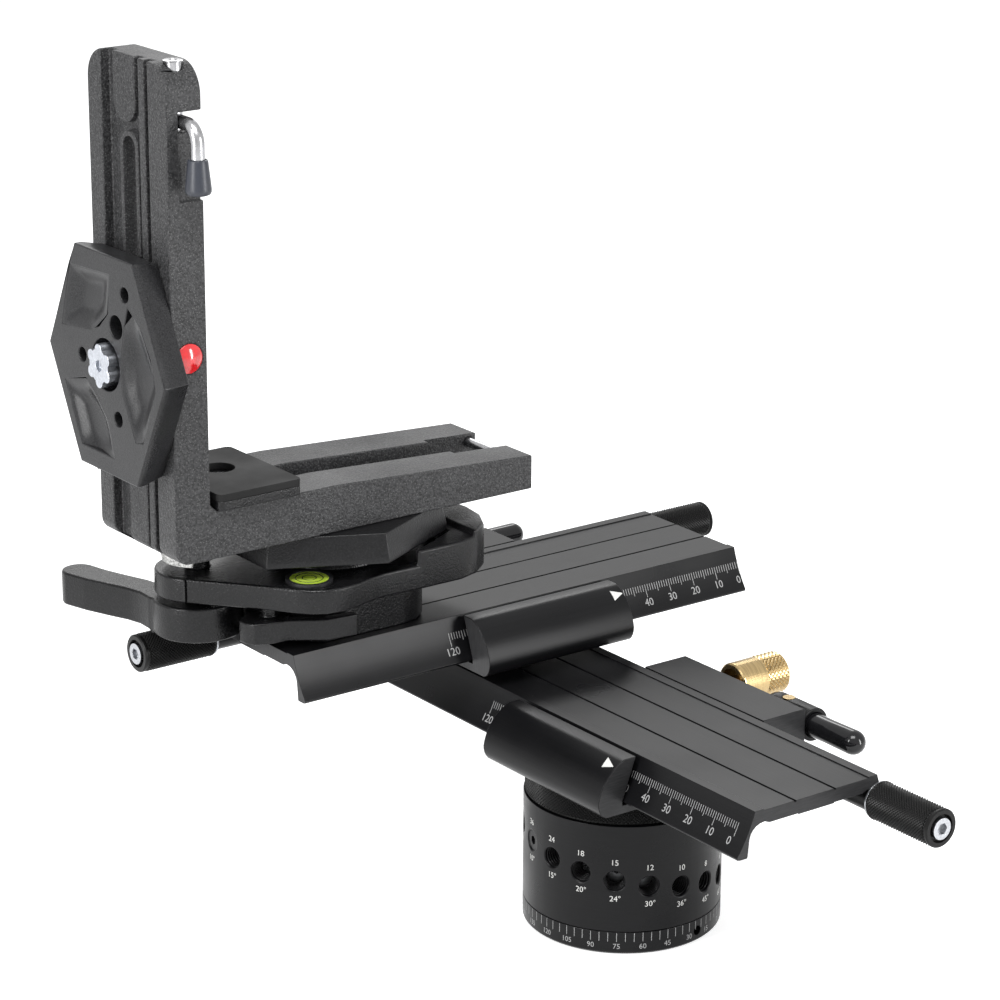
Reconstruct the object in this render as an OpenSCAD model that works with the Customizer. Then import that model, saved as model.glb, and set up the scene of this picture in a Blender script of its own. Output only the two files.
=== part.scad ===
// Multi-row panoramic head: an indexed rotation unit, two micrometric slides at right angles,
// a hexagonal quick-release adapter and an L-bracket.
// The origin is on the pan axis at the underside of the base, Z is up, X runs along the upper slide.

/* [Rotation unit] */
// Outer radius of the rotation unit
pan_r = 31.5; // [31:0.5:36]
// Height of the graduated ring
ring_h = 7.5; // [7:0.25:9]
// Height of the indexed drum
drum_h = 35.3; // [35:0.1:40]
// Height of the neck under the lower clamp
neck_h = 9.1; // [8.5:0.1:12]
// Width of the lock ring, from the neck to its knurled edge
lock_ring_w = 11.5; // [10:0.1:12]
// Wall of the indexed drum
drum_wall = 7; // [6:0.5:8]
// Radius of the spindle
spindle_r = 9; // [8:0.25:10]
// Radius of the 3/8 inch tripod thread
tripod_r = 4.76; // [3.17:0.01:4.76]
// Depth of the tripod thread
tripod_depth = 12; // [8:0.5:12.5]
// Radius of an index hole
index_hole_r = 3.2; // [3:0.1:3.4]

/* [Slides] */
// Length of each slide plate
plate_len = 178; // [150:1:200]
// Half the width of a plate at its flared edges
plate_half_w = 30.5; // [30:0.1:31]
// Half the width of a plate's top
plate_top_w = 24; // [23.6:0.1:24.4]
// Depth of a plate from its top to the tips of its edges
plate_drop = 14.2; // [13.8:0.1:14.4]
// Thickness of a plate's slab
slab_t = 4.8; // [4.6:0.1:5.2]
// Length of each clamp
clamp_len = 58.6; // [50:0.2:70]
// Depth of each clamp below the plate's top
clamp_drop = 17.3; // [17:0.1:20]
// Outer side of the clamp's rear block from the centreline
block_out = 42.1; // [41:0.1:46]
// Radius of the lead screw
rod_r = 2.4; // [2.2:0.05:2.5]
// Radius of a knurled knob
knob_r = 6.25; // [6:0.05:7]
// Length of a knurled knob
knob_len = 26.5; // [20:0.5:32]
// Radius of the brass lock knob
brass_r = 7; // [6.4:0.1:7.4]
// Length of the brass lock knob
brass_len = 19.5; // [16:0.5:24]
// Height of the spacer between the two slides
spacer_h = 3.9; // [3.5:0.1:6]

/* [Adapter] */
// Thickness of the adapter's plate
adapter_t = 8; // [7:0.25:9]
// Height of the adapter's foot
foot_h = 13.4; // [13.2:0.1:15]
// Thickness of each hexagonal plate
hex_t = 9.5; // [9:0.1:10]
// Half the distance across the flats of a hexagonal plate
hex_flat = 34; // [33:0.1:34.5]
// Half the distance across the points of a hexagonal plate
hex_point = 33.5; // [33:0.1:34]
// Radius of the bubble level's housing
bubble_r = 7.4; // [6.8:0.1:7.6]

/* [Bracket] */
// Length of the bracket's lower arm
arm_len = 132.9; // [120:0.1:140]
// Height of the bracket
bracket_h = 151.2; // [140:0.1:160]
// Width of the bracket
bracket_w = 44.4; // [43:0.1:46]
// Thickness of the upright
upright_t = 12; // [11.5:0.1:13]
// Thickness of the lower arm at its root
arm_t = 15.2; // [14.8:0.1:16]
// Width of the slots that the screws run in
slot_w = 6.8; // [6.6:0.1:7.4]
// Length of the camera plate
pad_len = 29.6; // [24:0.2:32]

/* [Hidden] */

$fn = 64;
// Overrun of every cut past the faces that it goes through
over = 1;
// Clearance of a running fit, all round
run_gap = 0.05;
// Clearance between sliding faces
slide_gap = 0.1;
// Clearance between curved faces that move past each other
free_gap = 0.3;

neck_r = pan_r - lock_ring_w;

// Heights, from the tripod upwards
seam = 0.2;
drum_z = ring_h + seam;
neck_z = drum_z + drum_h;
lower_clamp_z = neck_z + neck_h;
lower_top_z = lower_clamp_z + clamp_drop;
upper_clamp_z = lower_top_z + spacer_h;
upper_top_z = upper_clamp_z + clamp_drop;
adapter_z = upper_top_z + foot_h;
adapter_top_z = adapter_z + adapter_t;
seat_h = 5.2;
hex_z = adapter_top_z + seat_h;
bracket_z = hex_z + hex_t;
arm_top_z = bracket_z + arm_t;
bracket_top_z = bracket_z + bracket_h;

// Places in plan
line_x = 4.1;
lower_clamp_y = -3.65;
lower_shift = 6.95;
upper_shift = 3.75;
upper_clamp_in = 15.1;
line_y = lower_clamp_y + lower_shift + plate_len / 2 - upper_clamp_in;
head_in = 29.75;
head_x = line_x - upper_shift - plate_len / 2 + head_in;

// Base ring and its set screw
edge_bevel = 0.8;
boss_past = 2;
boss_h = tripod_depth + boss_past - ring_h;
core_gap = 0.5;
set_screw_r = 1.55;
set_screw_len = 6;
set_screw_angle = -79.6;
set_screw_in = 3;
set_hex_share = 0.55;

// Index core, its ten rows of detents and the drum's ten holes
index_counts = [72, 36, 24, 18, 15, 12, 10, 8, 6, 4];
index_first_angle = 147;
index_turn = 20;
index_top = 24.4;
index_fall = 1.856;
dimple_r = 0.78;
dimple_tip_r = 0.2;
dimple_depth = 1;
core_r = pan_r - drum_wall - core_gap;
core_h = 27.5;
roof_t = 7;
plunger_row = 1;
plunger_angle = index_first_angle + plunger_row * index_turn;
plunger_z = drum_z + index_top - plunger_row * index_fall;
plunger_len = 5.5;
plunger_hex_r = 1.5;
plunger_hex_depth = 1.6;
pin_r = 1.1;
pin_head_r = 1.9;
pin_head_t = 0.6;
pin_neck = 1.2;
pin_travel = 1;
spring_wire = 0.3;
hole_bevel = 0.5;

// Spindle nut, brake shoe and lock ring
nut_r = 13;
nut_h = 4.9;
shoe_w = 6;
shoe_angle = 90;
shoe_lift = 0.6;
shoe_t = 4;
lock_gap = 0.3;

// Screws that hold the lower clamp on the neck
neck_screw_r = 1.5;
neck_screw_head_r = 2.6;
neck_screw_head_t = 3;
neck_screw_sink = 4;
neck_screw_angle = 52;
neck_screw_len = 18;
neck_wall = 4;
neck_screw_circle = neck_r - neck_wall / 2;

// Plate section: lip, grooves and flared edges
lip_w = 3.5;
lip_h = 0.35;
groove_w = 0.8;
groove_depth = 0.5;
groove_places = [-8.5, 7];
wing_sag = 0.6;
tip_r = 0.9;
tip_foot = 1.2;
rib_half = 7;
slab_root = 18.2;
rib_h = 0.3;
wing_inner_shares = [[0.868, 1], [0.862, 0.94], [0.846, 0.592], [0.832, 0.49], [0.805, 0.41], [0.77, 0.345],
  [0.72, 0.3], [0.66, 0.285]];

// Lead screw in the edge on the block's side
screw_u = 24.9;
screw_w = -8.3;
screw_boss_r = 4.6;
screw_boss_in = 0.5;
channel_r = 2.9;
channel_half = 2.3;
bearing_len = 6;
washer_t = 0.6;
washer_r = 5.9;
knob_bore_depth = 20;
knob_bevel = 0.6;
knob_face_r = 4.4;
knob_face_depth = 1.8;
socket_head_r = 3.4;
socket_head_t = 2.2;
socket_hex_r = 1.9;
socket_depth = 1.5;
knob_screw_r = 1.5;
knob_screw_len = 9;

// Clamp section: jaw, floor, pedestal and rear block
floor_t = clamp_drop - plate_drop - free_gap;
pedestal_half = 18.5;
block_in = 24.65;
block_bevel = 0.5;
jaw_lift = 0.3;
jaw_in = 26;
jaw_top = 30.3;
jaw_out = 40.2;
jaw_out_drop = 12;
jaw_low = 38.5;
jaw_low_drop = 16.5;
jaw_foot = 36.9;
jaw_sag = 2.1;
jaw_heel_sag = 0.5;
throat_gap = 0.4;
throat_w = plate_half_w + throat_gap;

// Half nut, its stem and spring, and the release lever
lever_v = -14.85;
lever_w = -7.4;
lever_u = 47.9;
nut_half = 5;
nut_nose_u = 25.6;
nut_nose_half = 2.2;
nut_body_u = 29.7;
nut_back_u = 33;
nut_top_w = -4.3;
pocket_u = 39.4;
pocket_gap = 0.25;
stem_r = 2.4;
stem_past = 2.6;
bar_r = 5.5;
bar_grip_end = 12.5;
bar_cam_end = 10;
bar_slot_half = 2.6;
bar_slot_back = 4;
lever_pin_r = 1.3;
lever_pin_head_r = 2;
lever_pin_head_t = 0.8;
grip_r = 4;
grip_len = 22;
grip_seat = 2;
nut_spring_wire = 0.5;
nut_spring_r = 2.75;
nut_travel = 4.4;

// Brass lock knob and its shoe
brass_v = 10.65;
brass_w = -4.9;
brass_gap = 3.8;
brass_stud_r = 2.4;
brass_stud_tip = 33;
brass_cup_r = 5;
brass_cup_depth = 3;
brass_grip_share = 0.42;
brass_neck = 0.3;
brass_bevel = 0.8;
lock_shoe_r = 2.35;
shoe_hole_r = 2.45;
shoe_gap = 0.35;

// Spacer and the bolts that hold the upper clamp
spacer_r = 14;
bolt_r = 2.5;
bolt_head_r = 4.6;
bolt_head_t = 2.4;
bolt_half_span = 8;
bolt_len = 16.5;

// Adapter: outline, foot, raised block and seat
adapter_back = 2.1;
adapter_x = head_x - adapter_back;
adapter_half_l = 53;
adapter_half_w = 31;
adapter_outline_shares = [[-0.925, 0.123], [-0.634, -0.465], [-0.5, -0.781], [-0.443, -0.903],
  [-0.358, -0.984], [-0.245, -1.01], [-0.132, -0.985], [-0.019, -0.92], [0.094, -0.895], [0.358, -0.913],
  [0.63, -0.913], [0.774, -0.839], [0.898, -0.671], [0.975, -0.426], [1, -0.135], [0.981, 0.219],
  [0.887, 0.574], [0.698, 0.832], [0.396, 0.961], [-0.019, 1], [-0.434, 0.971], [-0.698, 0.848]];
foot_ahead = 0.4;
foot_x = head_x + foot_ahead;
foot_half_l = 27.5;
foot_half_w = 20.7;
foot_outline_shares = [[-0.564, -0.976], [0.49, -1], [0.72, -0.93], [0.9, -0.74], [1, -0.493], [1, 0.473],
  [0.745, 0.86], [0.31, 1], [-0.564, 1], [-0.927, 0.715], [-1, 0.135], [-0.927, -0.541]];
block_h = 12.8;
block_lip_h = 14.5;
block_lip_ahead = 37.9;
block_lip_left = head_x + block_lip_ahead;
wall_gap = 0.5;
wall_ahead = 14.9;
wall_left = head_x + wall_ahead;
rim_w = 4.5;
rim_h = 0.9;
cam_back = 41.1;
cam_across = 12.8;
cam_x = head_x - cam_back;
cam_y = line_y + cam_across;
cam_boss_r = 13.4;
seat_r = 19;
adapter_screw_r = 4.76;
adapter_screw_head_r = 8;
adapter_screw_head_t = 3;
adapter_screw_len = 14;

// Bubble level
bubble_back = 20.6;
bubble_across = -19.7;
bubble_x = head_x - bubble_back;
bubble_y = line_y + bubble_across;
bubble_h = 3.4;
bubble_up = 1;
bubble_wall = 1.3;
vial_h = 2.6;

// Hexagonal plates
hex_edge_half = 16.5;
hex_taper = 1.5;
hex_x = head_x;
hex_y = line_y;
hex_turn = 90;
hex_screw_r = 3.175;
hex_recess_r = 8;
hex_recess_depth = 5;
hex_rim = 4.5;
hex_rim_depth = 1.6;
hex_side_angle = atan2(hex_point - hex_edge_half, hex_flat);
hex_side_flat = hex_point * cos(hex_side_angle);
side_hex_up = 59.5;
side_hex_z = bracket_z + side_hex_up;

// Cam, its shaft and the lock lever
cam_low_r = 5.8;
cam_high_r = 8.2;
cam_lobe_low_r = 10.9;
cam_lobe_high_r = 13;
cam_lobe_from = 100;
cam_lobe_to = 232;
cam_lift = 2.7;
cam_flat = 7;
cam_flat_angle = -60;
cam_shaft_r = 4;
hub_r = 14.3;
hub_h = 11.4;
hub_gap = 1.6;
lever_t = 11;
lever_half = 4.6;
lever_tip_half = 5.6;
lever_path_shares = [[-0.55, 0.1], [-0.62, 0.55], [-0.6, 0.95], [-0.7, 1.4], [-0.92, 1.95], [-1.12, 2.5], [-1.25, 3.0]];

// Safety lever under the front of the adapter
safety_back = 30.1;
safety_across = -11.2;
safety_x = head_x - safety_back;
safety_y = line_y + safety_across;
safety_h = 7;
safety_gap = 4;
safety_pivot_r = 2.5;
safety_size = 16;
safety_outline_shares = [[-0.62, 0.12], [-0.6, -0.1], [-0.5, -0.27], [-0.3, -0.37], [0.15, -0.44], [0.5, -0.66],
  [0.8, -0.84], [1.45, -0.93], [1.5, -0.72], [0.85, -0.62], [0.3, -0.26], [0.13, 0.3], [-0.2, 0.36], [-0.45, 0.28]];

// Bracket
bracket_back = 69.3;
bracket_x = head_x - bracket_back;
upright_inner = bracket_x + upright_t;
arm_end = bracket_x + arm_len;
arm_end_t = 11.2;
top_corner_r = 9.5;
foot_corner_r = 4.5;
foot_corner_sag = 1.3;
strip_h = 4;
strip_step = 0.5;
arm_slot_half = 6;
fork_half = 8.5;
fork_len = 20.7;
slot_shelf_t = 4.6;
slot_start = 12;
cross_bar_r = 1.6;
cross_bar_in = 3;
cross_bar_drop = 2.6;
upright_slot_low = 24;
upright_slot_down = 24;
upright_slot_high = bracket_h - upright_slot_down;
back_channel = [-11.9, 14.3];
back_channel_depth = 3.2;
back_raise = 0.4;
slot_frame_half = 5.2;
back_rib = [-9.4, -6.1];
back_boss_half = 6.2;
back_boss_v = 3.2;
back_boss_down = 20.4;
back_boss_raise = 1.1;
nut_channel_half = 8.4;
nut_channel_depth = 4.4;
notch_top_down = 13.8;
notch_gate = 6;
notch_dent_down = 40.2;
notch_dent = 1.2;
notch_skin = 4.2;
notch_depth = 11;
pin_bore_down = 32;
badge_up = 63.8;
badge_z = bracket_z + badge_up;
badge_r = 4.5;
badge_h = 1.4;
badge_seat = 0.8;
badge_sag = 0.3;

// Screw of the hexagonal plate under the arm
arm_screw_x = head_x;
arm_screw_head_r = 5.2;
arm_screw_head_t = 3.2;
arm_screw_depth = 8;

// Star screw of the side plate
star_r = 6.8;
star_core_r = 5.2;
star_lobe_r = 1.9;
star_lobes = 6;
star_t = 7.4;
slot_nut_r = 7.6;
slot_nut_t = 3.2;

// Camera plate, its rubber pad and the captive screw
pad_ahead = 29;
pad_x = bracket_x + pad_ahead;
pad_w = 41.5;
pad_shift = -3.4;
pad_plate_t = 3;
pad_rubber_t = 2.3;
pad_corner_r = 2;
pad_hole_r = 5;
pad_travel = 16;
camera_screw_r = 3.175;
camera_screw_sink = 2.2;
camera_screw_head_r = 5.6;
camera_screw_head_t = 2.2;

// Bent lock lever at the top of the upright
pin_lever_in = 6.3;
pin_lever_across = -16.4;
pin_lever_x = bracket_x + pin_lever_in;
pin_lever_y = line_y + pin_lever_across;
pin_shaft_r = 2.5;
pin_cap_r = 3;
pin_cap_t = 0.5;
bent_rod_r = 2.1;
bent_rod_down = 17;
bent_rod_z = bracket_top_z - bent_rod_down;
pin_foot = 1;
bent_reach = 12.5;
bent_drop = 9.5;
sleeve_len = 10.5;
sleeve_top_r = 2.9;
sleeve_low_r = 3.9;
sleeve_grip = 4;

function turned(p, a) = [p[0] * cos(a) - p[1] * sin(a), p[0] * sin(a) + p[1] * cos(a)];

// Points along the arc from p to q that bulges to the left by sag, or to the right if sag is negative
function arc_points(p, q, sag, n) =
  let (chord = norm(q - p), way = (q - p) / chord, left = [-way[1], way[0]], side = sign(sag))
  let (r = (chord * chord / 4 + sag * sag) / (2 * abs(sag)))
  let (centre = (p + q) / 2 + left * side * (abs(sag) - r), start = atan2(p[1] - centre[1], p[0] - centre[0]))
  let (half = asin(chord / 2 / r))
  [for (i = [0:n]) centre + r * [cos(start - side * 2 * half * i / n), sin(start - side * 2 * half * i / n)]];

function scaled(points, across, along) = [for (p = points) [p[0] * across, p[1] * along]];

function mirrored(points) = [for (i = [len(points) - 1:-1:0]) [-points[i][0], points[i][1]]];

// Outer face of a plate's flared edge, from the top to the tip, moved out by gap
function wing_face(gap) =
  arc_points([plate_top_w + gap, 0], [plate_half_w + gap, -plate_drop + tip_r], -wing_sag, 8);

function plate_half() = concat(
  wing_face(0), [[plate_half_w - tip_foot / 4, -plate_drop + tip_r / 4], [plate_half_w - tip_foot, -plate_drop]],
  scaled(wing_inner_shares, plate_half_w, -plate_drop), [[slab_root, -slab_t], [rib_half, -slab_t]],
  [[rib_half, -slab_t - rib_h]]);

// Turns a section drawn in u and w into a solid along v, from v0 to v1
module along_v(v0, v1) {
  translate([0, v1, 0]) rotate([90, 0, 0]) linear_extrude(v1 - v0) children();
}

module slide_plate(shift) {
  low = shift - plate_len / 2;
  high = shift + plate_len / 2;
  difference() {
    union() {
      along_v(low, high) polygon(concat(plate_half(), mirrored(plate_half())));
      intersection() {
        along_v(low, high) polygon(concat([[0, 0]], wing_face(-screw_boss_in), [[0, -plate_drop + tip_r]]));
        translate([screw_u, low, screw_w]) rotate([-90, 0, 0]) cylinder(r = screw_boss_r, h = plate_len);
      }
    }
    translate([-plate_top_w + lip_w, low - over, -lip_h])
      cube([2 * (plate_top_w - lip_w), plate_len + 2 * over, over]);
    for (place = groove_places)
      translate([place - groove_w / 2, low - over, -lip_h - groove_depth])
        cube([groove_w, plate_len + 2 * over, over]);
    translate([screw_u, low - over, screw_w]) rotate([-90, 0, 0])
      cylinder(r = rod_r + run_gap, h = plate_len + 2 * over);
    translate([screw_u, low + bearing_len, screw_w]) rotate([-90, 0, 0])
      cylinder(r = channel_r, h = plate_len - 2 * bearing_len);
    translate([screw_u, low + bearing_len, screw_w - channel_half])
      cube([plate_half_w, plate_len - 2 * bearing_len, 2 * channel_half]);
  }
}

// Countersunk screw standing on z = 0 with its head down
module countersunk(r, head_r, head_t, length) {
  cylinder(r1 = head_r, r2 = r, h = head_t);
  cylinder(r = r, h = length);
}

module clamp_section() {
  throat = -plate_drop - free_gap;
  polygon(concat(
    [[block_in, 0], [block_out - block_bevel, 0], [block_out, -block_bevel]],
    [[block_out, -clamp_drop + block_bevel], [block_out - block_bevel, -clamp_drop], [-jaw_foot, -clamp_drop]],
    arc_points([-jaw_low, -jaw_low_drop], [-jaw_out, -jaw_out_drop], jaw_heel_sag, 4),
    arc_points([-jaw_out, -jaw_out_drop], [-jaw_top, jaw_lift], jaw_sag, 10),
    [[-jaw_in, jaw_lift], [-throat_w, -plate_drop + tip_r], [-throat_w, throat]],
    [[-pedestal_half, throat], [-pedestal_half, -slab_t - rib_h - slide_gap]],
    [[pedestal_half, -slab_t - rib_h - slide_gap], [pedestal_half, throat], [throat_w, throat]],
    arc_points([throat_w, -plate_drop + tip_r], [block_in, 0], wing_sag, 8)));
}

module clamp_solid() {
  difference() {
    along_v(-clamp_len / 2, clamp_len / 2) clamp_section();
    translate([screw_u, lever_v - nut_half - pocket_gap, screw_w - nut_nose_half - pocket_gap])
      cube([pocket_u - screw_u, 2 * (nut_half + pocket_gap), nut_top_w - screw_w + nut_nose_half + 2 * pocket_gap]);
    translate([screw_u, lever_v, lever_w]) rotate([0, 90, 0]) cylinder(r = stem_r + run_gap, h = block_out);
    translate([screw_u - over, brass_v, brass_w]) rotate([0, 90, 0]) cylinder(r = shoe_hole_r, h = block_out);
  }
}

// Lead screw rod, knobs, washers and end screws of a plate whose middle is at shift
module lead_rod(shift) {
  reach = plate_len / 2 + washer_t + knob_bore_depth - slide_gap;
  translate([screw_u, shift - reach, screw_w]) rotate([-90, 0, 0]) difference() {
    cylinder(r = rod_r, h = 2 * reach);
    for (end = [-over, 2 * reach - knob_screw_len + over])
      translate([0, 0, end]) cylinder(r = knob_screw_r, h = knob_screw_len);
  }
}

module at_knob_ends(shift) {
  for (side = [-1, 1])
    translate([screw_u, shift + side * plate_len / 2, screw_w]) rotate([-90 * side, 0, 0]) children();
}

module screw_washers(shift) {
  at_knob_ends(shift) difference() {
    cylinder(r = washer_r, h = washer_t);
    translate([0, 0, -over]) cylinder(r = rod_r + run_gap, h = washer_t + 2 * over);
  }
}

module screw_knobs(shift) {
  at_knob_ends(shift) translate([0, 0, washer_t]) difference() {
    union() {
      cylinder(r1 = knob_r - knob_bevel, r2 = knob_r, h = knob_bevel);
      translate([0, 0, knob_bevel]) cylinder(r = knob_r, h = knob_len - 2 * knob_bevel);
      translate([0, 0, knob_len - knob_bevel]) cylinder(r1 = knob_r, r2 = knob_r - knob_bevel, h = knob_bevel);
    }
    translate([0, 0, -over]) cylinder(r = rod_r, h = knob_bore_depth + over);
    cylinder(r = knob_screw_r, h = knob_len);
    translate([0, 0, knob_len - knob_face_depth]) cylinder(r = knob_face_r, h = knob_face_depth + over);
  }
}

module knob_screws(shift) {
  at_knob_ends(shift) translate([0, 0, washer_t + knob_len - knob_face_depth]) difference() {
    union() {
      cylinder(r = socket_head_r, h = socket_head_t);
      translate([0, 0, -knob_screw_len]) cylinder(r = knob_screw_r, h = knob_screw_len);
    }
    translate([0, 0, socket_head_t - socket_depth]) cylinder(r = socket_hex_r, h = socket_depth + over, $fn = 6);
  }
}

module half_nut() {
  difference() {
    union() {
      translate([nut_nose_u, lever_v - nut_half, screw_w - nut_nose_half])
        cube([nut_body_u - nut_nose_u, 2 * nut_half, 2 * nut_nose_half]);
      translate([nut_body_u, lever_v - nut_half, screw_w - nut_nose_half])
        cube([nut_back_u - nut_body_u, 2 * nut_half, nut_top_w - screw_w + nut_nose_half]);
      translate([nut_body_u, lever_v, lever_w]) rotate([0, 90, 0])
        cylinder(r = stem_r, h = lever_u + stem_past - nut_body_u);
    }
    translate([screw_u, lever_v - clamp_len, screw_w]) rotate([-90, 0, 0])
      cylinder(r = rod_r + slide_gap, h = 2 * clamp_len);
    translate([lever_u, lever_v, lever_w - bar_r]) cylinder(r = lever_pin_r, h = 2 * bar_r);
  }
}

module nut_spring() {
  translate([nut_back_u, lever_v, lever_w]) rotate([0, 90, 0])
    coil(nut_spring_wire, nut_spring_r, 2.5, pocket_u - nut_back_u);
}

// Open coil along +Z, worked out turn by turn as one tube
module coil(wire, r, turns, length) {
  rings = turns * 14;
  sides = 6;
  pitch = (length - wire) / turns;
  places = [for (i = [0:rings]) let (a = 360 * turns * i / rings)
    for (s = [0:sides - 1]) let (b = 360 * s / sides)
      [(r + wire / 2 * cos(b)) * cos(a), (r + wire / 2 * cos(b)) * sin(a),
       wire / 2 + pitch * turns * i / rings + wire / 2 * sin(b)]];
  skin = [for (i = [0:rings - 1]) for (s = [0:sides - 1]) let (t = (s + 1) % sides)
    each [[i * sides + s, i * sides + t, (i + 1) * sides + t], [i * sides + s, (i + 1) * sides + t, (i + 1) * sides + s]]];
  ends = concat([[for (s = [sides - 1:-1:0]) s]], [[for (s = [0:sides - 1]) rings * sides + s]]);
  polyhedron(places, concat([for (f = skin) [f[2], f[1], f[0]]], [for (f = ends) [for (k = [len(f) - 1:-1:0]) f[k]]]),
    convexity = 4);
}

module at_lever() {
  translate([lever_u, lever_v, lever_w]) children();
}

module lever_bar() {
  at_lever() difference() {
    union() {
      translate([0, -bar_grip_end, 0]) rotate([-90, 0, 0]) cylinder(r = bar_r, h = bar_grip_end + bar_cam_end - bar_r);
      translate([0, bar_cam_end - bar_r, 0]) sphere(bar_r);
    }
    translate([-2 * bar_r, -bar_slot_back, -bar_slot_half]) cube([4 * bar_r, 2 * bar_cam_end, 2 * bar_slot_half]);
    translate([0, 0, -2 * bar_r]) cylinder(r = lever_pin_r + run_gap, h = 4 * bar_r);
    translate([0, 0, bar_r - lever_pin_head_t - slide_gap]) cylinder(r = lever_pin_head_r + slide_gap, h = bar_r);
    translate([0, -bar_grip_end + grip_seat, 0]) rotate([90, 0, 0]) cylinder(r = grip_r + run_gap, h = bar_r);
  }
}

module lever_pin() {
  at_lever() {
    translate([0, 0, bar_r - lever_pin_head_t]) cylinder(r = lever_pin_head_r, h = lever_pin_head_t);
    translate([0, 0, -bar_r + lever_pin_head_t]) cylinder(r = lever_pin_r, h = 2 * bar_r - lever_pin_head_t - slide_gap);
  }
}

module lever_grip() {
  at_lever() translate([0, -bar_grip_end + grip_seat, 0]) rotate([90, 0, 0]) {
    cylinder(r = grip_r, h = grip_len + grip_seat - grip_r);
    translate([0, 0, grip_len + grip_seat - grip_r]) sphere(grip_r);
  }
}

module brass_knob() {
  inner = block_out + brass_gap;
  translate([inner, brass_v, brass_w]) rotate([0, 90, 0]) difference() {
    union() {
      cylinder(r = brass_r - brass_neck, h = brass_len * (1 - brass_grip_share));
      translate([0, 0, brass_len * (1 - brass_grip_share)])
        cylinder(r = brass_r, h = brass_len * brass_grip_share - brass_bevel);
      translate([0, 0, brass_len - brass_bevel]) cylinder(r1 = brass_r, r2 = brass_r - brass_bevel, h = brass_bevel);
      translate([0, 0, brass_stud_tip - inner]) cylinder(r = brass_stud_r, h = inner - brass_stud_tip + brass_cup_depth);
    }
    difference() {
      translate([0, 0, -over]) cylinder(r = brass_cup_r, h = brass_cup_depth + over);
      translate([0, 0, -2 * over]) cylinder(r = brass_stud_r, h = brass_cup_depth + 4 * over);
    }
  }
}

module lock_shoe() {
  difference() {
    intersection() {
      translate([screw_u - 2 * over, brass_v, brass_w]) rotate([0, 90, 0])
        cylinder(r = lock_shoe_r, h = brass_stud_tip - free_gap - screw_u + 2 * over);
      along_v(brass_v - brass_r, brass_v + brass_r)
        polygon(concat(wing_face(shoe_gap), [[block_out, -plate_drop + tip_r], [block_out, 0]]));
    }
    translate([screw_u, brass_v - brass_r, screw_w]) rotate([-90, 0, 0])
      cylinder(r = rod_r + shoe_gap, h = 2 * brass_r);
  }
}

module on_lower() {
  translate([line_x, lower_clamp_y, lower_top_z]) children();
}

module on_upper() {
  translate([line_x, line_y, upper_top_z]) rotate([0, 0, 90]) children();
}

module at_bolts() {
  for (side = [-1, 1])
    translate([line_x + side * bolt_half_span, line_y, lower_top_z - slab_t - rib_h]) children();
}

module at_neck_screws() {
  for (i = [0:3])
    rotate([0, 0, (i % 2 == 0 ? neck_screw_angle : -neck_screw_angle) + (i > 1 ? 180 : 0)])
      translate([neck_screw_circle, 0, lower_top_z - slab_t - rib_h - slide_gap - neck_screw_sink]) children();
}

module at_index(row) {
  rotate([0, 0, index_first_angle + row * index_turn])
    translate([0, 0, drum_z + index_top - row * index_fall]) rotate([0, 90, 0]) children();
}

module base_ring() {
  color([0.09, 0.09, 0.1]) difference() {
    union() {
      cylinder(r1 = pan_r - edge_bevel, r2 = pan_r, h = edge_bevel);
      translate([0, 0, edge_bevel]) cylinder(r = pan_r, h = ring_h - edge_bevel);
      cylinder(r = spindle_r, h = ring_h + boss_h);
    }
    translate([0, 0, -over]) cylinder(r = tripod_r, h = tripod_depth + over);
    rotate([0, 0, set_screw_angle]) translate([pan_r - set_screw_in - set_screw_len, 0, ring_h / 2])
      rotate([0, 90, 0]) cylinder(r = set_screw_r, h = pan_r);
  }
}

module base_set_screw() {
  color([0.2, 0.2, 0.2]) rotate([0, 0, set_screw_angle])
    translate([pan_r - set_screw_in - set_screw_len, 0, ring_h / 2]) rotate([0, 90, 0]) difference() {
      cylinder(r = set_screw_r, h = set_screw_len);
      translate([0, 0, set_screw_len / 2])
        cylinder(r = set_screw_r * set_hex_share, h = set_screw_len, $fn = 6);
    }
}

module index_core() {
  color([0.7, 0.7, 0.72]) difference() {
    translate([0, 0, ring_h]) cylinder(r = core_r, h = core_h);
    translate([0, 0, ring_h - over]) cylinder(r = spindle_r, h = core_h + 2 * over);
    for (row = [0:len(index_counts) - 1])
      for (k = [0:index_counts[row] - 1])
        rotate([0, 0, 360 * k / index_counts[row]]) at_index(row)
          translate([0, 0, core_r - dimple_depth])
            cylinder(r1 = dimple_tip_r, r2 = 2 * dimple_r - dimple_tip_r, h = 2 * dimple_depth, $fn = 16);
  }
}

module spindle() {
  color([0.75, 0.75, 0.77]) translate([0, 0, ring_h + boss_h])
    cylinder(r = spindle_r, h = neck_z + nut_h - ring_h - boss_h);
}

module spindle_nut() {
  color([0.6, 0.6, 0.62]) translate([0, 0, neck_z + slide_gap]) difference() {
    cylinder(r = nut_r, h = nut_h);
    translate([0, 0, -over]) cylinder(r = spindle_r, h = nut_h + 2 * over);
  }
}

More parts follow.
